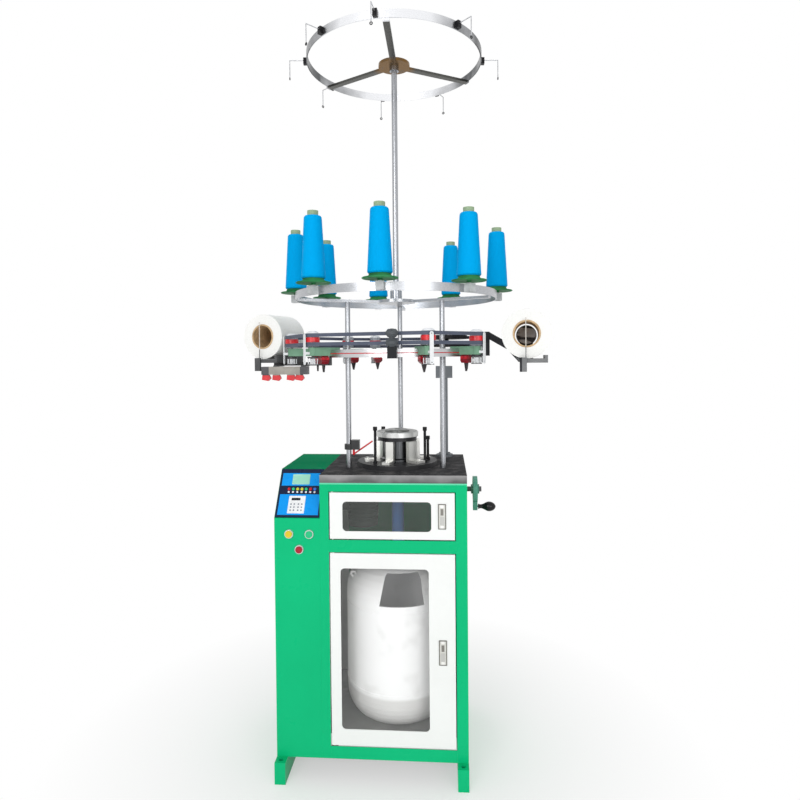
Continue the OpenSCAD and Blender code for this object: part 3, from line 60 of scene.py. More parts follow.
EMERALD = srgb(10, 185, 122)
# Pale green of a painted highlight along the cabinet's top edge
RIM_HIGHLIGHT_GREEN = srgb(104, 214, 172)
# Cabinet green darkened as painted shade, for the top of the control box's cover
BOX_SHADE_GREEN = srgb(2, 132, 87)
HOLDER_GREEN = srgb(54, 128, 78)
SAGE = srgb(118, 158, 132)
TEAL = srgb(62, 138, 116)
WHITE_PAINT = srgb(238, 240, 238)
INSIDE_GREY = srgb(238, 239, 235)
# Interior grey darkened as painted shade, for the walls of the cabinet's upper space
UPPER_INSIDE_SHADE = srgb(150, 154, 150)
INSIDE_FLOOR = srgb(124, 125, 122)
TABLE_TOP = srgb(46, 46, 48)
TABLE_WORN = srgb(84, 82, 82)
TABLE_SCRATCH = srgb(150, 148, 146)
TABLE_EDGE = srgb(152, 151, 151)
# Table edge grey darkened as painted shade, for the lower part of the edge
TABLE_EDGE_SHADE = srgb(98, 99, 99)
BLACK = srgb(26, 26, 28)
STEEL = srgb(166, 168, 172)
BELT = srgb(82, 88, 104)
RED = srgb(208, 26, 36)
BUTTON_RED = srgb(164, 34, 48)
DARK_RED = srgb(126, 22, 34)
LENS_RED = srgb(176, 30, 42)
YARN_BLUE = srgb(0, 176, 247)
CARDBOARD = srgb(196, 166, 126)
TUBE_GREEN = srgb(150, 172, 138)
CHUTE_BLUE = srgb(112, 166, 250)
NAVY = srgb(14, 30, 62)
AZURE = srgb(2, 150, 236)
SCREEN = srgb(150, 214, 190)
YELLOW = srgb(212, 206, 58)
GREEN = srgb(40, 190, 128)
RUST = srgb(120, 88, 44)

MM = 0.001
SHEET = 2 * MM
X, Y, Z = (1, 0, 0), (0, 1, 0), (0, 0, 1)
shell_low, shell_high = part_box("cabinet_shell")
table_low, table_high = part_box("table_plate")
AXIS_X = sum(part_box("mast")[i].x for i in (0, 1)) / 2

# Span that most values of a noise texture lie in
NOISE_SPAN = (0.3, 0.7)
# Scale of the fine bumps in sprayed paint
ORANGE_PEEL = 420.0
# Stretch of metal streaks that run level around a ring, and that run upright along a pole
LEVEL_STREAKS = (1.0, 1.0, 9.0)
UPRIGHT_STREAKS = (9.0, 9.0, 0.6)


# Material building blocks

class Look:
    """One procedural material around a Principled shader."""

    def __init__(self, name, roughness=0.5, metallic=0.0, gloss=0.5):
        self.material = bpy.data.materials.new(name)
        self.material.use_nodes = True
        self.tree = self.material.node_tree
        self.shader = self.tree.nodes["Principled BSDF"]
        self.shader.inputs["Metallic"].default_value = metallic
        self.shader.inputs["Roughness"].default_value = roughness
        self.shader.inputs["Specular IOR Level"].default_value = gloss
        coords = self.tree.nodes.new("ShaderNodeTexCoord")
        self.place = coords.outputs["Object"]

    def node(self, kind, **settings):
        made = self.tree.nodes.new(kind)
        for key, value in settings.items():
            setattr(made, key, value)
        return made

    def feed(self, socket, value):
        """Links a socket, or sets its value."""
        if isinstance(value, bpy.types.NodeSocket):
            self.tree.links.new(value, socket)
        else:
            socket.default_value = value

    def math(self, operation, a, b=0.0):
        made = self.node("ShaderNodeMath", operation=operation)
        self.feed(made.inputs[0], a)
        self.feed(made.inputs[1], b)
        return made.outputs[0]

    def dot(self, direction):
        """Distance along a direction in the part's own frame."""
        made = self.node("ShaderNodeVectorMath", operation="DOT_PRODUCT")
        self.feed(made.inputs[0], self.place)
        made.inputs[1].default_value = direction
        return made.outputs["Value"]

    def from_axis(self):
        """Distance from the machine's upright axis."""
        flat = self.node("ShaderNodeVectorMath", operation="MULTIPLY")
        self.feed(flat.inputs[0], self.place)
        flat.inputs[1].default_value = (1, 1, 0)
        away = self.node("ShaderNodeVectorMath", operation="DISTANCE")
        self.feed(away.inputs[0], flat.outputs[0])
        away.inputs[1].default_value = (AXIS_X, 0, 0)
        return away.outputs["Value"]

    def off(self, direction, middle):
        """Distance to either side of a middle, along a direction."""
        return self.math("ABSOLUTE", self.math("SUBTRACT", self.dot(direction), middle))

    def above(self, value, limit):
        """1 where the value is greater than a limit, and 0 elsewhere."""
        return self.math("GREATER_THAN", value, limit)

    def below(self, value, limit):
        """1 where the value is less than a limit, and 0 elsewhere."""
        return self.math("LESS_THAN", value, limit)

    def between(self, value, low, high):
        """1 where the value lies between two numbers, and 0 elsewhere."""
        return self.both(self.above(value, low), self.below(value, high))

    def both(self, *masks):
        """The product of masks: 1 where each of them is 1."""
        found = masks[0]
        for mask in masks[1:]:
            found = self.math("MULTIPLY", found, mask)
        return found

    def either(self, *masks):
        """The greatest of masks: 1 where any of them is 1."""
        found = masks[0]
        for mask in masks[1:]:
            found = self.math("MAXIMUM", found, mask)
        return found

    def scaled(self, scale):
        """The part's own coordinates, stretched along each axis."""
        made = self.node("ShaderNodeMapping")
        self.feed(made.inputs["Vector"], self.place)
        made.inputs["Scale"].default_value = scale
        return made.outputs["Vector"]

    def noise(self, scale, detail=3.0, place=None):
        made = self.node("ShaderNodeTexNoise")
        self.feed(made.inputs["Vector"], place or self.place)
        made.inputs["Scale"].default_value = scale
        made.inputs["Detail"].default_value = detail
        return made.outputs["Fac"]

    def ramp(self, value, span, to=(0.0, 1.0)):
        """The value carried from one span to another, and held at the ends."""
        made = self.node("ShaderNodeMapRange")
        self.feed(made.inputs["Value"], value)
        for key, number in zip(("From Min", "From Max", "To Min", "To Max"), span + to):
            made.inputs[key].default_value = number
        return made.outputs["Result"]

    def mix(self, factor, a, b):
        made = self.node("ShaderNodeMix", data_type="RGBA")
        self.feed(made.inputs["Factor"], factor)
        self.feed(made.inputs["A"], a)
        self.feed(made.inputs["B"], b)
        return made.outputs["Result"]

    def varied(self, colour, scale, amount):
        """A colour with soft patches at a scale, darker and lighter by an amount."""
        patches = self.ramp(self.noise(scale), NOISE_SPAN)
        return self.mix(patches, shade(colour, 1 - amount), shade(colour, 1 + amount))

    def colour(self, value):
        self.feed(self.shader.inputs["Base Color"], value)

    def rough(self, scale, low, high):
        """Roughness that varies in patches at a scale, from low to high."""
        self.rough_by(self.noise(scale), NOISE_SPAN, (low, high))

    def rough_by(self, value, span, to):
        """Roughness that follows a value."""
        self.feed(self.shader.inputs["Roughness"], self.ramp(value, span, to))

    def bump(self, height, strength, depth):
        made = self.node("ShaderNodeBump")
        made.inputs["Strength"].default_value = strength
        made.inputs["Distance"].default_value = depth
        self.feed(made.inputs["Height"], height)
        self.feed(self.shader.inputs["Normal"], made.outputs["Normal"])

    def grain(self, scale, strength, depth):
        """Fine even bumps at a scale."""
        self.bump(self.noise(scale, 1.0), strength, depth)

    def put_on(self, *nodes):
        """Gives the look to CAD nodes."""
        for name in nodes:
            mesh = NODES[name].data
            mesh.materials.clear()
            mesh.materials.append(self.material)


def paint(name, colour, rough=(0.3, 0.42), patch=6.0, amount=0.06, gloss=0.1):
    """Sprayed paint: soft patches, uneven gloss and a faint orange peel."""
    look = Look(name, gloss=gloss)
    look.colour(look.varied(colour, patch, amount))
    look.rough(18.0, *rough)
    look.grain(ORANGE_PEEL, strength=0.08, depth=0.2 * MM)
    return look


def plastic(name, colour, rough=(0.28, 0.4), amount=0.05):
    """Moulded plastic with a fine grain."""
    look = Look(name, gloss=0.25)
    look.colour(look.varied(colour, 30.0, amount))
    look.rough(60.0, *rough)
    look.grain(900.0, strength=0.06, depth=0.1 * MM)
    return look


def metal(name, colour, stretch, rough=(0.24, 0.42), amount=0.1):
    """Drawn or brushed metal with fine streaks, packed closer along the axes with a larger stretch."""
    look = Look(name, metallic=1.0)
    streaks = look.noise(220.0, 4.0, look.scaled(stretch))
    look.colour(look.mix(streaks, shade(colour, 1 - amount), colour))
    look.rough_by(streaks, (0.2, 0.8), rough)
    look.bump(streaks, strength=0.08, depth=0.1 * MM)
    return look


# Cabinet, table and doors

def cabinet_look():
    """Emerald outside with a painted highlight along its upper rim, grey sheet inside with painted shade
    darkening its upper space, and a darker floor.
    """
    highlight_height = 4.5 * MM
    floor_zone = 72 * MM
    skin = SHEET / 2
    look = Look("cabinet_paint", gloss=0.1)
    x, y, z = look.dot(X), look.dot(Y), look.dot(Z)
    # Painted highlight: a pale green strip along the top edge of the outside.
    rim = look.above(z, shell_high.z - highlight_height)
    outside = look.mix(rim, look.varied(EMERALD, 3.0, 0.05), look.varied(RIM_HIGHLIGHT_GREEN, 9.0, 0.06))
    # Painted shade: the walls of the upper space are darker than those below.
    upper = look.above(z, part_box("upper_door")[0].z)
    walls = look.mix(upper, look.varied(INSIDE_GREY, 7.0, 0.12), look.varied(UPPER_INSIDE_SHADE, 9.0, 0.2))
    floor = look.below(z, shell_low.z + floor_zone)
    inside = look.mix(floor, walls, look.varied(INSIDE_FLOOR, 12.0, 0.2))
    within = look.both(
        look.between(x, shell_low.x + skin, shell_high.x - skin),
        look.between(y, shell_low.y + skin, shell_high.y - skin),
        look.between(z, shell_low.z + SHEET, shell_high.z - skin),
    )
    look.colour(look.mix(within, outside, inside))
    look.rough(14.0, 0.26, 0.36)
    look.grain(ORANGE_PEEL, strength=0.03, depth=0.2 * MM)
    return look


def table_look():
    """Dark worn top with scratches, and a paler edge in patches that painted shade darkens downwards."""
    top_skin = 0.5 * MM
    look = Look("table_plate_paint", gloss=0.03)
    height = look.dot(Z)
    worn = look.ramp(look.noise(26.0, 6.0), (0.46, 0.72))
    lines = look.noise(60.0, 2.0, look.scaled((1.0, 14.0, 1.0)))
    scratches = look.ramp(lines, (0.62, 0.7), (0.0, 0.5))
    top = look.mix(scratches, look.mix(worn, TABLE_TOP, TABLE_WORN), TABLE_SCRATCH)
    patches = look.ramp(look.noise(11.0), (0.35, 0.65), (-0.35, 0.35))
    # Painted shade and highlight: the edge is lighter at its top and darker downwards.
    painted_shade_rise = look.ramp(height, (table_low.z, table_high.z), (0.0, 1.1))
    edge = look.mix(look.math("ADD", painted_shade_rise, patches), TABLE_EDGE_SHADE, TABLE_EDGE)
    side = look.below(height, table_high.z - top_skin)
    look.colour(look.mix(side, top, edge))
    look.rough(30.0, 0.55, 0.75)
    look.bump(look.noise(180.0, 4.0), strength=0.2, depth=0.3 * MM)
    return look


def pane_look(name, colour, alpha):
    """Clear plastic pane with a slight haze."""
    look = Look(name)
    look.colour(look.varied(colour, 12.0, 0.12))
    look.shader.inputs["Alpha"].default_value = alpha
    look.rough(9.0, 0.05, 0.16)
    return look


def latch_look(node):
    """Pale plate with a grey rim, a slot above its push button and a screw at each end."""
    field_half_w, field_half_h = 9.5 * MM, 36 * MM
    slot_half_w, slot_low, slot_high = 4.5 * MM, 4 * MM, 24 * MM
    screw_half_w, screws_from = 5 * MM, 27.5 * MM
    low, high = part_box(node)
    middle = (low + high) / 2
    look = Look(node + "_chrome", metallic=0.7, gloss=0.3)
    x, z = look.off(X, middle.x), look.off(Z, middle.z)
    field = look.both(look.below(x, field_half_w), look.below(z, field_half_h))
    above_button = look.between(look.dot(Z), middle.z + slot_low, middle.z + slot_high)
    slot = look.both(look.below(x, slot_half_w), above_button)
    screws = look.both(field, look.below(x, screw_half_w), look.above(z, screws_from))
    rim = look.varied(srgb(118, 117, 112), 90.0, 0.1)
    pale = look.varied(srgb(214, 214, 208), 90.0, 0.06)
    colour = look.mix(slot, look.mix(field, rim, pale), srgb(134, 132, 126))
    look.colour(look.mix(screws, colour, srgb(242, 242, 238)))
    look.rough(120.0, 0.28, 0.44)
    look.grain(500.0, strength=0.06, depth=0.1 * MM)
    return look


def barrel_look():
    """Milky blown plastic, lightly smudged, and greyer below its lower seam and on its shoulder."""
    seam_low, seam_high = 96 * MM, 108 * MM
    shoulder_low, shoulder_high = 140 * MM, 60 * MM
    low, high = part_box("barrel")
    look = Look("barrel_plastic", gloss=0.25)
    height = look.dot(Z)
    smudge = look.ramp(look.noise(16.0, 5.0), (0.56, 0.72), (0.0, 0.3))
    foot = look.ramp(height, (low.z + seam_low, low.z + seam_high), (0.85, 0.0))
    shoulder = look.ramp(height, (high.z - shoulder_low, high.z - shoulder_high), (0.0, 0.5))
    greyer_and_dark_reflection = look.either(foot, shoulder, smudge)
    look.colour(look.mix(greyer_and_dark_reflection, srgb(254, 254, 254), srgb(214, 213, 211)))
    look.shader.inputs["Subsurface Weight"].default_value = 0.1
    look.shader.inputs["Subsurface Radius"].default_value = (1.0, 1.0, 1.0)
    look.shader.inputs["Subsurface Scale"].default_value = 3 * MM
    look.rough(60.0, 0.3, 0.46)
    look.bump(look.noise(300.0, 2.0), strength=0.06, depth=0.2 * MM)
    return look


# Overhead ring

def top_ring_look():
    """Band with a painted reflection, bright at its front and back and dark at its sides, dark spokes and a
    brown stained hub.
    """
    band_zone = 8 * MM
    reflection_wander = 40 * MM
    hub_r, stain_r = 50 * MM, 80 * MM
    low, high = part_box("top_ring")
    ring_r = (high.x - low.x) / 2
    look = Look("top_ring_steel", metallic=1.0)
    streaks = look.noise(200.0, 4.0, look.scaled(LEVEL_STREAKS))
    # Painted reflection: the band is bright towards its front and back and dark towards its sides, with a
    # wandering edge between.
    uneven = look.ramp(look.noise(9.0), NOISE_SPAN, (-reflection_wander, reflection_wander))
    side = look.math("ADD", look.off(X, AXIS_X), uneven)
    greyer_and_dark_reflection = look.ramp(side, (0.45 * ring_r, 0.95 * ring_r))
    band = look.mix(greyer_and_dark_reflection, srgb(238, 239, 242), srgb(84, 86, 88))
    reach = look.from_axis()
    spokes = look.below(reach, ring_r - band_zone)
    bare = look.mix(spokes, band, look.mix(streaks, srgb(48, 48, 46), srgb(112, 112, 108)))
    near_hub = look.ramp(reach, (hub_r, stain_r), (0.95, 0.0))
    spots = look.ramp(look.noise(38.0, 5.0), (0.3, 0.5), (0.3, 1.0))
    look.colour(look.mix(look.both(near_hub, spots), bare, RUST))
    look.rough_by(streaks, (0.2, 0.8), (0.2, 0.4))
    look.bump(streaks, strength=0.08, depth=0.1 * MM)
    return look


def hook_look():
    """Pale bent wires with black clamps on the ring and dark eyes."""
    clamp_reach = 13 * MM
    eye_height = 9 * MM
    ring_low, ring_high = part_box("top_ring")
    ring_r = (ring_high.x - ring_low.x) / 2
    look = Look("hook_wire", metallic=0.6, gloss=0.2)
    clamp = look.below(look.from_axis(), ring_r + clamp_reach)
    eye = look.below(look.dot(Z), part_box("guide_hooks")[0].z + eye_height)
    wire = look.varied(srgb(186, 187, 190), 60.0, 0.2)
    dark = look.varied(srgb(34, 34, 36), 60.0, 0.25)
    look.colour(look.mix(look.either(clamp, eye), wire, dark))
    look.rough(80.0, 0.26, 0.42)
    look.grain(600.0, strength=0.06, depth=0.1 * MM)
    return look


# Yarn, elastic and card

def yarn_look():
    """Blue yarn in fine wavy turns."""
    look = Look("blue_yarn", gloss=0.02)
    wind = look.node("ShaderNodeTexWave", bands_direction="Z")
    look.feed(wind.inputs["Vector"], look.place)
    wind.inputs["Scale"].default_value = 190.0
    wind.inputs["Distortion"].default_value = 2.2
    wind.inputs["Detail"].default_value = 2.0
    wind.inputs["Detail Scale"].default_value = 1.6
    threads = wind.outputs["Fac"]
    look.colour(look.mix(threads, shade(YARN_BLUE, 0.72), YARN_BLUE))
    look.rough(40.0, 0.45, 0.65)
    look.bump(threads, strength=0.35, depth=0.5 * MM)
    return look


def elastic_look():
    """Wound elastic tape: fine lines of its turns."""
    look = Look("white_elastic")
    turns = look.noise(260.0, 3.0, look.scaled((1.0, 0.12, 1.0)))
    look.colour(look.mix(turns, srgb(232, 232, 228), srgb(252, 252, 250)))
    look.shader.inputs["Sheen Weight"].default_value = 0.2
    look.rough(80.0, 0.7, 0.88)
    look.bump(turns, strength=0.35, depth=0.6 * MM)
    return look


def card_look():
    """Dull brown cardboard."""
    look = Look("cardboard")
    look.colour(look.varied(CARDBOARD, 70.0, 0.22))
    look.rough(50.0, 0.78, 0.92)
    look.bump(look.noise(300.0, 4.0), strength=0.25, depth=0.3 * MM)
    return look


def holder_look():
    """Green painted discs on bare clamp blocks."""
    clamp_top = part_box("creel_frame")[1].z + 3 * MM
    look = Look("cone_holder", gloss=0.01)
    clamp = look.below(look.dot(Z), clamp_top)
    green = look.varied(HOLDER_GREEN, 16.0, 0.35)
    look.colour(look.mix(clamp, green, look.varied(srgb(190, 192, 194), 60.0, 0.12)))
    look.rough(50.0, 0.3, 0.45)
    look.grain(ORANGE_PEEL, strength=0.06, depth=0.1 * MM)
    return look


# Feeders and elastic feed, with their parts told apart by place

def rotor_look():
    """Dark drum with a pale band, grey pulleys with a red collar between them, and a pale cap."""
    drum_height = 29 * MM
    band_low, band_high = 2.5 * MM, 20 * MM
    rim = 0.6 * MM
    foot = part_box("feeder_rotor_1")[0].z
    lower_belt_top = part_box("lower_belt")[1].z
    upper_belt_low, upper_belt_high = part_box("upper_belt")
    look = Look("feeder_rotor")
    height = look.dot(Z)
    drum = look.below(height, foot + drum_height)
    drum_band = look.between(height, foot + band_low, foot + band_high)
    collar = look.between(height, lower_belt_top + rim, upper_belt_low.z - rim)
    cap = look.above(height, upper_belt_high.z + rim)
    colour = look.varied(srgb(150, 154, 162), 60.0, 0.1)
    colour = look.mix(collar, colour, look.varied(RED, 40.0, 0.12))
    colour = look.mix(cap, colour, srgb(226, 228, 232))
    colour = look.mix(drum, colour, look.varied(srgb(40, 40, 44), 60.0, 0.2))
    look.colour(look.mix(drum_band, colour, srgb(222, 224, 226)))
    look.rough(70.0, 0.22, 0.38)
    look.grain(700.0, strength=0.05, depth=0.1 * MM)
    return look


def detector_look():
    """Grey boxes between dark ends, with red paddles below."""
    paddle_height = 19.5 * MM
    end_width = 26 * MM
    low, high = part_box("yarn_detectors")
    look = Look("yarn_detector")
    paddles = look.below(look.dot(Z), low.z + paddle_height)
    boxes = look.between(look.dot(X), low.x + end_width, high.x - end_width)
    colour = look.mix(boxes, srgb(58, 58, 62), look.varied(srgb(150, 146, 138), 40.0, 0.2))
    look.colour(look.mix(paddles, colour, look.varied(RED, 40.0, 0.15)))
    look.rough(60.0, 0.35, 0.5)
    look.grain(500.0, strength=0.08, depth=0.1 * MM)
    return look


def stop_motion_look():
    """Dark-red boxes with a lighter lens band and a black feeler plate below."""
    feeler_height = 25.5 * MM
    lens_low, lens_high = 13 * MM, 5 * MM
    low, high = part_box("stop_motions")
    look = Look("stop_motion_plastic", gloss=0.25)
    height = look.dot(Z)
    feeler = look.below(height, low.z + feeler_height)
    lens = look.between(height, high.z - lens_low, high.z - lens_high)
    colour = look.varied(DARK_RED, 60.0, 0.3)
    colour = look.mix(lens, colour, look.varied(LENS_RED, 90.0, 0.35))
    look.colour(look.mix(feeler, colour, look.varied(srgb(40, 36, 38), 60.0, 0.3)))
    look.rough(60.0, 0.28, 0.42)
    look.grain(700.0, strength=0.06, depth=0.1 * MM)
    return look


def bracket_look():
    """Grey trays, pale guide rods, a ribbed hub in the right roll and its black sloping arm."""
    arm_length = 150 * MM
    rods_above = 5 * MM
    hub_from, hub_to = 12 * MM, 146 * MM
    core_low, core_high = 115 * MM, 46 * MM
    low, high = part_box("elastic_rolls")
    ring_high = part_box("feeder_ring")[1]
    look = Look("roll_bracket_paint", gloss=0.1)
    x, y, z = look.dot(X), look.dot(Y), look.dot(Z)
    right = look.above(x, AXIS_X)
    left_tray = look.varied(srgb(88, 89, 90), 20.0, 0.15)
    right_tray = look.varied(srgb(124, 125, 126), 20.0, 0.15)
    arm = look.between(x, ring_high.x, ring_high.x + arm_length)
    colour = look.mix(right, left_tray, right_tray)
    colour = look.mix(arm, colour, look.varied(srgb(44, 45, 48), 20.0, 0.15))
    front = look.ramp(right, (0.0, 1.0), ((low.y + high.y) / 2, low.y + hub_from))
    rods = look.both(look.below(y, front), look.above(z, ring_high.z + rods_above))
    colour = look.mix(rods, colour, look.varied(srgb(206, 202, 194), 60.0, 0.1))
    core = look.between(z, high.z - core_low, high.z - core_high)
    hub = look.both(right, core, look.between(y, low.y + hub_from, low.y + hub_to))
    ribs = look.ramp(look.noise(70.0, 1.0, look.scaled((0.2, 0.2, 1.0))), (0.45, 0.55))
    look.colour(look.mix(hub, colour, look.mix(ribs, srgb(60, 60, 62), srgb(190, 192, 194))))
    look.rough(30.0, 0.35, 0.5)
    look.grain(ORANGE_PEEL, strength=0.08, depth=0.2 * MM)
    return look


# Knitting head, air valve and crank

def cam_ring_look():
    """Bright turned ring on a dark step, darkened in part by painted shade under the ring, with a darker dial
    on top.
    """
    step_height, dial_height = 13.2 * MM, 29.5 * MM
    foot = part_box("cam_ring")[0].z
    look = Look("cam_ring_alloy", metallic=0.85)
    height = look.dot(Z)
    dial = look.above(height, foot + dial_height)
    step = look.below(height, foot + step_height)
    lines = look.noise(300.0, 3.0, look.scaled((0.3, 0.3, 12.0)))
    bright = look.mix(lines, srgb(176, 177, 176), srgb(222, 223, 221))
    colour = look.mix(dial, bright, look.varied(srgb(112, 114, 112), 40.0, 0.15))
    # The step's near-black is partly its own dark colour and partly painted shade under the ring.
    look.colour(look.mix(step, colour, look.varied(srgb(48, 48, 50), 40.0, 0.15)))
    look.rough(90.0, 0.25, 0.42)
    look.bump(lines, strength=0.1, depth=0.1 * MM)
    return look


def valve_look():
    """Black valve with a red hose beside and below it."""
    body_width = 51 * MM
    body_foot = 19.5 * MM
    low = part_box("air_valve")[0]
    look = Look("air_valve_plastic")
    beside = look.above(look.dot(X), low.x + body_width)
    under = look.below(look.dot(Z), low.z + body_foot)
    hose = look.either(beside, under)
    look.colour(look.mix(hose, look.varied(BLACK, 50.0, 0.2), look.varied(RED, 50.0, 0.1)))
    look.rough(60.0, 0.3, 0.45)
    look.grain(600.0, strength=0.06, depth=0.1 * MM)
    return look


def crank_look():
    """Teal enamel with bare nut, shaft and pin."""
    nut_from, shaft_from = 5.5 * MM, 20.5 * MM
    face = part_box("crank_grip")[0].x - 2 * MM
    look = Look("crank_enamel")
    nut = look.above(look.dot(X), face + nut_from)
    shaft = look.below(look.dot(X), face - shaft_from)
    bare = look.varied(srgb(70, 72, 74), 60.0, 0.2)
    look.colour(look.mix(look.either(nut, shaft), look.varied(TEAL, 40.0, 0.16), bare))
    look.rough(40.0, 0.24, 0.42)
    look.bump(look.noise(160.0, 3.0), strength=0.1, depth=0.3 * MM)
    return look


# Control panel: coloured fields in the film, and raised trim on it

panel_low, panel_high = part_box("control_panel")
cover_low, cover_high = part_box("control_box_cover")
PANEL_T = 3 * MM
PANEL_RUN = 100 * MM
PANEL_RISE = cover_high.z - cover_low.z
PANEL_SLOPE = math.atan2(PANEL_RISE, PANEL_RUN)
PANEL_LENGTH = math.hypot(PANEL_RUN, PANEL_RISE)
PANEL_WIDTH = panel_high.x - panel_low.x
UP_PANEL = Vector((0, math.cos(PANEL_SLOPE), math.sin(PANEL_SLOPE)))
OFF_PANEL = Vector((0, -math.sin(PANEL_SLOPE), math.cos(PANEL_SLOPE)))
PANEL_CORNER = Vector((panel_low.x, cover_low.y, cover_low.z)) + OFF_PANEL * PANEL_T
PANEL_AXES = Matrix((Vector(X), UP_PANEL, OFF_PANEL)).transposed()
ON_PANEL = Matrix.Translation(PANEL_CORNER) @ PANEL_AXES.to_4x4()

# Fields as shares of the panel, from its left edge and from its top edge: left, right, top, bottom
UPPER_FIELD = (0.045, 0.965, 0.1, 0.36)
LOWER_FIELD = (0.045, 0.965, 0.535, 0.945)
SCREEN_FIELD = (0.285, 0.69, 0.125, 0.335)
KEYPAD_FIELD = (0.265, 0.645, 0.57, 0.915)
DISPLAY_FIELD = (0.33, 0.53, 0.612, 0.66)
LAMP_ROW = 0.432
LAMP_KEY_ROW = 0.492
LAMPS = [("red", RED), ("green", GREEN), ("amber", YELLOW), ("yellow", YELLOW), ("jade", GREEN),
         ("ruby", RED), ("blue", srgb(60, 120, 220))]
LAMP_FIRST, LAMP_STEP = 0.235, 0.0995

# Feet of the trim: sunk in the film, or in the keypad's plate
IN_FILM = -0.2 * MM
IN_PLATE = 1.2 * MM


def across(share):
    """Distance from the panel's left edge."""
    return share * PANEL_WIDTH


def up(share):
    """Distance from the panel's lower edge, from a share counted downwards."""
    return (1 - share) * PANEL_LENGTH


def panel_look():
    """Printed film: navy ground with two azure fields."""
    look = Look("panel_film", gloss=0.2)
    u = look.math("SUBTRACT", look.dot(X), PANEL_CORNER.x)
    v = look.math("SUBTRACT", look.dot(UP_PANEL), PANEL_CORNER.dot(UP_PANEL))
    azure = look.varied(AZURE, 30.0, 0.05)
    colour = look.varied(NAVY, 30.0, 0.15)
    for left, right, top, bottom in (UPPER_FIELD, LOWER_FIELD):
        columns = look.between(u, across(left), across(right))
        rows = look.between(v, up(bottom), up(top))
        colour = look.mix(look.both(columns, rows), colour, azure)
    look.colour(colour)
    look.rough(40.0, 0.25, 0.36)
    look.grain(800.0, strength=0.05, depth=0.1 * MM)
    return look


def screen_look():
    """Unlit pale-green screen with faint paler streaks of painted reflection."""
    look = Look("screen_glass")
    reflection_drift = look.noise(34.0, 2.0, look.scaled((0.5, 2.5, 2.5)))
    # Painted reflection: faint paler streaks across the screen's glass.
    streaks = look.ramp(reflection_drift, (0.5, 0.7), (0.0, 0.7))
    look.colour(look.mix(streaks, SCREEN, srgb(206, 240, 226)))
    look.rough(30.0, 0.08, 0.18)
    return look


# Looks of the CAD nodes

def dress_cabinet():
    """Cabinet, table, doors with their latches, buttons, and what stands inside."""
    cabinet_look().put_on("cabinet_shell", "rear_covers")
    paint("foot_rail_paint", EMERALD).put_on("foot_rails")
    # The cover takes the cabinet's green, darkened by painted shade on its top.
    paint("control_box_shaded_paint", BOX_SHADE_GREEN, rough=(0.5, 0.62), gloss=0.004).put_on("control_box_cover")
    doors = paint("door_paint", WHITE_PAINT, rough=(0.24, 0.34), patch=4.0, amount=0.02)
    doors.put_on("upper_door", "lower_door")
    table_look().put_on("table_plate")
    pane_look("upper_pane", srgb(96, 100, 97), alpha=0.3).put_on("upper_window")
    pane_look("lower_pane", srgb(248, 249, 249), alpha=0.05).put_on("lower_window")
    for name in ("upper_latch", "lower_latch"):
        latch_look(name).put_on(name)
    latch_steel = metal("latch_button_steel", srgb(206, 206, 202), LEVEL_STREAKS)
    latch_steel.put_on("upper_latch_button", "lower_latch_button")
    metal("bezel_chrome", srgb(226, 228, 228), (1.0, 9.0, 1.0), rough=(0.14, 0.26)).put_on("button_bezels")
    plastic("yellow_cap", srgb(222, 196, 50)).put_on("yellow_button")
    plastic("green_cap", GREEN).put_on("green_button")
    plastic("red_cap", BUTTON_RED).put_on("red_button")
    barrel_look().put_on("barrel")
    plastic("chute_plastic", CHUTE_BLUE).put_on("chute_tube")
    drive = paint("gear_case_paint", srgb(96, 100, 98), rough=(0.4, 0.55), patch=14.0, amount=0.18)
    drive.put_on("gear_case", "drive_motor")


def dress_stands():
    """Pillars, mast and rings, with the hooks and the yarn cones on them."""
    metal("pillar_steel", STEEL, UPRIGHT_STREAKS, rough=(0.2, 0.36)).put_on("pillars", "mast")
    creel = metal("creel_steel", srgb(190, 192, 196), LEVEL_STREAKS, rough=(0.2, 0.38), amount=0.25)
    creel.put_on("creel_frame")
    top_ring_look().put_on("top_ring")
    metal("feeder_ring_steel", srgb(206, 207, 209), LEVEL_STREAKS).put_on("feeder_ring")
    hook_look().put_on("guide_hooks")
    holder_look().put_on("cone_holders")
    plastic("tube_plastic", TUBE_GREEN, rough=(0.4, 0.55), amount=0.1).put_on("cone_tubes")
    yarn_look().put_on("yarn_cones")


def dress_feeders():
    """Belts and yarn feeders, and the feed of the elastic rolls."""
    plastic("belt_rubber", BELT, rough=(0.5, 0.68), amount=0.12).put_on("upper_belt", "lower_belt")
    housings = paint("housing_paint", SAGE, rough=(0.34, 0.5), patch=30.0, amount=0.12)
    housings.put_on("feeder_housings")
    stop_motion_look().put_on("stop_motions")
    plastic("guide_plastic", srgb(226, 228, 230), rough=(0.25, 0.4)).put_on("feeder_guides")
    rotor_look().put_on(*("feeder_rotor_%d" % number for number in range(1, 9)))
    paint("tension_bracket_paint", srgb(38, 40, 42), rough=(0.35, 0.5)).put_on("tension_bracket")
    discs = plastic("tension_rubber", srgb(74, 78, 82), rough=(0.4, 0.55), amount=0.15)
    discs.put_on("tension_pulley")
    bracket_look().put_on("roll_brackets")
    elastic_look().put_on("elastic_rolls")
    card_look().put_on("roll_cores")
    detector_look().put_on("yarn_detectors")


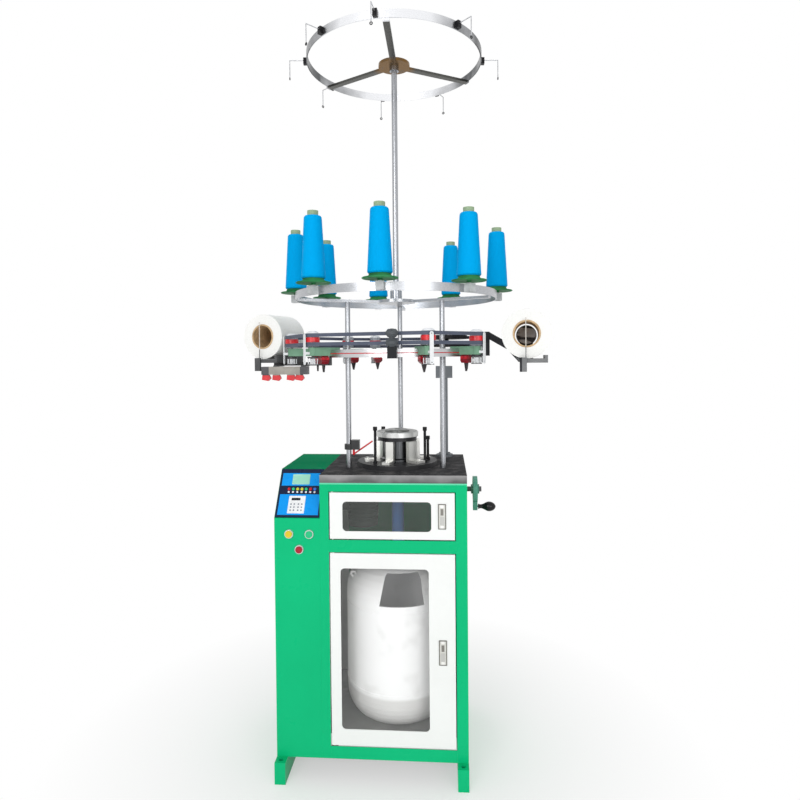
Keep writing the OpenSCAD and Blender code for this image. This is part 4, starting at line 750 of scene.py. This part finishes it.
def dress_head():
    """Knitting head, belt drive and air valve."""
    base = paint("head_base_black", srgb(40, 40, 42), rough=(0.3, 0.5), patch=40.0, amount=0.2)
    base.put_on("head_base")
    needles = metal("needle_cylinder_steel", srgb(92, 94, 96), (6.0, 6.0, 1.0), rough=(0.25, 0.42))
    needles.put_on("needle_cylinder")
    cam_ring_look().put_on("cam_ring")
    brackets = metal("head_bracket_alloy", srgb(224, 224, 220), (1.0, 1.0, 5.0), rough=(0.3, 0.48))
    brackets.put_on("head_brackets")
    paint("post_black", srgb(34, 34, 36), rough=(0.3, 0.45)).put_on("head_posts")
    column = paint("column_grey", srgb(120, 124, 128), rough=(0.35, 0.5), patch=16.0, amount=0.12)
    column.put_on("drive_column")
    paint("drive_black", srgb(34, 34, 37), rough=(0.35, 0.5)).put_on("belt_drive_shaft")
    valve_look().put_on("air_valve")


def dress_controls():
    """Crank and control panel."""
    crank_look().put_on("crank_wheel")
    plastic("grip_plastic", srgb(20, 20, 22), rough=(0.16, 0.26)).put_on("crank_grip")
    panel_look().put_on("control_panel")


# Mesh building

def mesh_object(name, build, look):
    """An object from a bmesh builder, riding on the machine's still body."""
    mesh = bpy.data.meshes.new(name)
    work = bmesh.new()
    build(work)
    bmesh.ops.recalc_face_normals(work, faces=work.faces)
    work.to_mesh(mesh)
    work.free()
    made = bpy.data.objects.new(name, mesh)
    bpy.context.scene.collection.objects.link(made)
    mesh.materials.append(look.material)
    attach(made, BASE)


def loft(work, rings, capped=True):
    """Skin through rings of points, closed at both ends when capped."""
    rows = [[work.verts.new(point) for point in ring] for ring in rings]
    count = len(rows[0])
    for low, high in zip(rows, rows[1:]):
        for i in range(count):
            work.faces.new((low[i], low[(i + 1) % count], high[(i + 1) % count], high[i]))
    if capped:
        work.faces.new(rows[0][::-1])
        work.faces.new(rows[-1])


def rounded(left, right, low, high, radius, height):
    """Points of a rectangle with round corners, at a height."""
    steps = 5
    corners = ((right, high, 0), (left, high, 90), (left, low, 180), (right, low, 270))
    points = []
    for x, y, turn in corners:
        outward = math.radians(turn + 45)
        centre_x = x - math.copysign(radius, math.cos(outward))
        centre_y = y - math.copysign(radius, math.sin(outward))
        for step in range(steps + 1):
            angle = math.radians(turn + 90 * step / steps)
            reach_x = centre_x + radius * math.cos(angle)
            reach_y = centre_y + radius * math.sin(angle)
            points.append(Vector((reach_x, reach_y, height)))
    return points


def pad(work, left, right, low, high, height, radius, edge, base):
    """Low pad with round corners and a softened rim, in panel coordinates."""
    inner = max(radius - edge, radius * 0.3)

    def ring(inset, corner, z):
        return rounded(left + inset, right - inset, low + inset, high - inset, corner, z)

    rings = [
        ring(0, radius, base),
        ring(0, radius, height - edge),
        ring(edge * 0.4, inner, height - edge * 0.3),
        ring(edge, inner, height),
    ]
    loft(work, [[ON_PANEL @ point for point in points] for points in rings])


def key(work, x, y, half_w, half_h, height, radius, edge, base):
    """Small pad around a middle point."""
    pad(work, x - half_w, x + half_w, y - half_h, y + half_h, height, radius, edge, base)


def field_pad(field, height, radius, edge, base=IN_FILM):
    """A builder of a pad that fills one field of the panel."""
    left, right, top, bottom = field

    def build(work):
        pad(work, across(left), across(right), up(bottom), up(top), height, radius, edge, base)

    return build


def lamp_lens(x, y, radius, height, rim):
    """A builder of a lamp lens with a domed top, in panel coordinates."""
    segments = 20
    steps = 5
    profile = [(radius, IN_FILM), (radius, rim)]
    for step in range(1, steps):
        angle = math.radians(90 * step / steps)
        profile.append((radius * math.cos(angle), rim + (height - rim) * math.sin(angle)))
    profile.append((radius * 0.12, height))
    turns = [2 * math.pi * i / segments for i in range(segments)]

    def ring(r, z):
        return [ON_PANEL @ Vector((x + r * math.cos(turn), y + r * math.sin(turn), z)) for turn in turns]

    def build(work):
        loft(work, [ring(r, z) for r, z in profile])

    return build


# Trim of the control panel

def keypad_keys(work):
    """Three rows of four keys, with a wider gap in their middle."""
    left, right = KEYPAD_FIELD[:2]
    first, step, gap = 0.17, 0.2, 0.05
    top_row, row_step = 0.735, 0.06
    for row in range(3):
        for column in range(4):
            share = left + (right - left) * (first + step * column + (gap if column > 1 else 0))
            x, y = across(share), up(top_row + row_step * row)
            key(work, x, y, half_w=2.1 * MM, half_h=1.9 * MM, height=2.4 * MM,
                radius=0.8 * MM, edge=0.4 * MM, base=IN_PLATE)


def lamp_place(number, row):
    """Place on the panel of a lamp, or of the key below it."""
    return across(LAMP_FIRST + LAMP_STEP * number), up(row)


def lamp_keys(work):
    """A key below each lamp."""
    for i in range(len(LAMPS)):
        x, y = lamp_place(i, LAMP_KEY_ROW)
        key(work, x, y, half_w=3 * MM, half_h=2.6 * MM, height=2 * MM,
            radius=1 * MM, edge=0.5 * MM, base=IN_FILM)


def make_panel_trim():
    """Screen, keypad and lamps, which stand a little off the panel's film."""
    white = plastic("panel_white", srgb(236, 238, 240))
    dark = plastic("panel_dark", srgb(24, 26, 34), rough=(0.14, 0.24))
    grey = plastic("panel_key", srgb(98, 108, 124))
    screen = field_pad(SCREEN_FIELD, height=1.6 * MM, radius=2.0 * MM, edge=0.5 * MM)
    plate = field_pad(KEYPAD_FIELD, height=1.4 * MM, radius=1.5 * MM, edge=0.4 * MM)
    display = field_pad(DISPLAY_FIELD, height=2.0 * MM, radius=0.8 * MM, edge=0.3 * MM, base=IN_PLATE)
    mesh_object("panel_screen", screen, screen_look())
    mesh_object("keypad_plate", plate, white)
    mesh_object("keypad_display", display, dark)
    mesh_object("keypad_keys", keypad_keys, grey)
    mesh_object("lamp_keys", lamp_keys, white)
    for i, (name, colour) in enumerate(LAMPS):
        x, y = lamp_place(i, LAMP_ROW)
        dome = lamp_lens(x, y, radius=5.0 * MM, height=4.6 * MM, rim=1.6 * MM)
        clear = plastic("lamp_" + name, colour, rough=(0.1, 0.2))
        mesh_object("panel_lamp_" + name, dome, clear)


# Trim of the feeder ring

def make_signal_wire():
    """Red signal wire round the feeder ring."""
    low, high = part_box("feeder_ring")
    wire_r = 1.3 * MM
    ring_r = (high.x - low.x) / 2 + wire_r
    middle = Vector((AXIS_X, (low.y + high.y) / 2, (low.z + high.z) / 2))
    turns, sides = 180, 8
    weld = 0.01 * MM

    def torus(work):
        rings = []
        for i in range(turns):
            turn = 2 * math.pi * i / turns
            outward = Vector((math.cos(turn), math.sin(turn), 0))
            ring = []
            for k in range(sides):
                angle = 2 * math.pi * k / sides
                reach = ring_r + wire_r * math.cos(angle)
                ring.append(middle + outward * reach + Vector((0, 0, wire_r * math.sin(angle))))
            rings.append(ring)
        loft(work, rings + rings[:1], capped=False)
        bmesh.ops.remove_doubles(work, verts=work.verts, dist=weld)

    mesh_object("signal_wire", torus, plastic("signal_wire_red", RED, rough=(0.3, 0.45)))


# Stage, light and camera

def seen_directly(tree):
    """1 for what the camera sees, also by reflection or through a pane."""
    path = tree.nodes.new("ShaderNodeLightPath")
    found = path.outputs["Is Camera Ray"]
    for name in ("Is Glossy Ray", "Is Transmission Ray"):
        either = tree.nodes.new("ShaderNodeMath")
        either.operation = "MAXIMUM"
        tree.links.new(found, either.inputs[0])
        tree.links.new(path.outputs[name], either.inputs[1])
        found = either.outputs[0]
    return found


def floor_look():
    """Pale paper that takes the shadow near the machine and is plain white to the camera far from it."""
    shadow_zone = (0.4, 1.1)
    whiteness = (0.45, 1.0)
    look = Look("floor_paper", roughness=0.9, gloss=0.0)
    look.colour(look.varied(srgb(246, 246, 246), 1.5, 0.01))
    away = look.node("ShaderNodeVectorMath", operation="LENGTH")
    look.feed(away.inputs[0], look.place)
    far = look.ramp(away.outputs["Value"], shadow_zone, whiteness)
    paper = look.node("ShaderNodeEmission")
    blend = look.node("ShaderNodeMixShader")
    look.feed(blend.inputs[0], look.both(far, seen_directly(look.tree)))
    look.feed(blend.inputs[1], look.shader.outputs[0])
    look.feed(blend.inputs[2], paper.outputs[0])
    look.feed(look.tree.nodes["Material Output"].inputs["Surface"], blend.outputs[0])
    return look


def make_floor():
    """Wide level floor under the machine."""
    half = 12.0
    corners = [(-half, -half, 0), (half, -half, 0), (half, half, 0), (-half, half, 0)]
    mesh = bpy.data.meshes.new("studio_floor")
    mesh.from_pydata(corners, [], [(0, 1, 2, 3)])
    floor = bpy.data.objects.new("studio_floor", mesh)
    bpy.context.scene.collection.objects.link(floor)
    mesh.materials.append(floor_look().material)


def make_world():
    """White to the camera, and a softer even light on the machine."""
    ambient, white = 0.55, 1.0
    world = bpy.data.worlds.new("studio_world")
    world.use_nodes = True
    tree = world.node_tree
    background = tree.nodes["Background"]
    strength = tree.nodes.new("ShaderNodeMapRange")
    tree.links.new(seen_directly(tree), strength.inputs["Value"])
    strength.inputs["To Min"].default_value = ambient
    strength.inputs["To Max"].default_value = white
    tree.links.new(strength.outputs["Result"], background.inputs["Strength"])
    background.inputs["Color"].default_value = (1, 1, 1, 1)
    bpy.context.scene.world = world


def area_light(name, place, target, size, power):
    """A round lamp that faces a target."""
    lamp = bpy.data.lights.new(name, "AREA")
    lamp.shape = "DISK"
    lamp.size = size
    lamp.energy = power
    made = bpy.data.objects.new(name, lamp)
    made.location = place
    made.rotation_euler = (Vector(target) - Vector(place)).to_track_quat("-Z", "Y").to_euler()
    bpy.context.scene.collection.objects.link(made)


def make_lights():
    """Two soft lamps in front of the machine, and one above it."""
    area_light("key_light", place=(-1.3, -4.0, 2.3), target=(0.0, 0.0, 1.0), size=2.4, power=63)
    area_light("fill_light", place=(2.0, -3.8, 1.5), target=(0.0, 0.0, 0.9), size=2.4, power=38)
    area_light("top_light", place=(0.0, 0.6, 4.6), target=(0.0, 0.0, 1.0), size=2.6, power=36)


def make_camera():
    """Camera of the photograph, found from the cabinet's edges, the rings and the rolls."""
    picture = 800
    focal_px = 614.44
    centre_row = 369.09
    place = Vector((0.23404, -2.08027, 1.31979))
    yaw, pitch, roll = -0.0724, -0.0195, 0.0087
    forward = Vector((math.sin(yaw) * math.cos(pitch), math.cos(yaw) * math.cos(pitch), math.sin(pitch)))
    right = Vector((math.cos(yaw), -math.sin(yaw), 0))
    down = forward.cross(right)
    turned_right = right * math.cos(roll) + down * math.sin(roll)
    turned_down = down * math.cos(roll) - right * math.sin(roll)
    data = bpy.data.cameras.new("photo_camera")
    data.sensor_width = 36.0
    data.lens = data.sensor_width * focal_px / picture
    data.shift_y = -(picture / 2 - centre_row) / picture
    camera = bpy.data.objects.new("photo_camera", data)
    axes = Matrix((turned_right, -turned_down, -forward)).transposed()
    camera.matrix_world = Matrix.Translation(place) @ axes.to_4x4()
    bpy.context.scene.collection.objects.link(camera)
    bpy.context.scene.camera = camera


make_camera()
make_floor()
make_world()
make_lights()
dress_cabinet()
dress_stands()
dress_feeders()
dress_head()
dress_controls()
make_panel_trim()
make_signal_wire()
bpy.context.scene.view_settings.view_transform = "Standard"
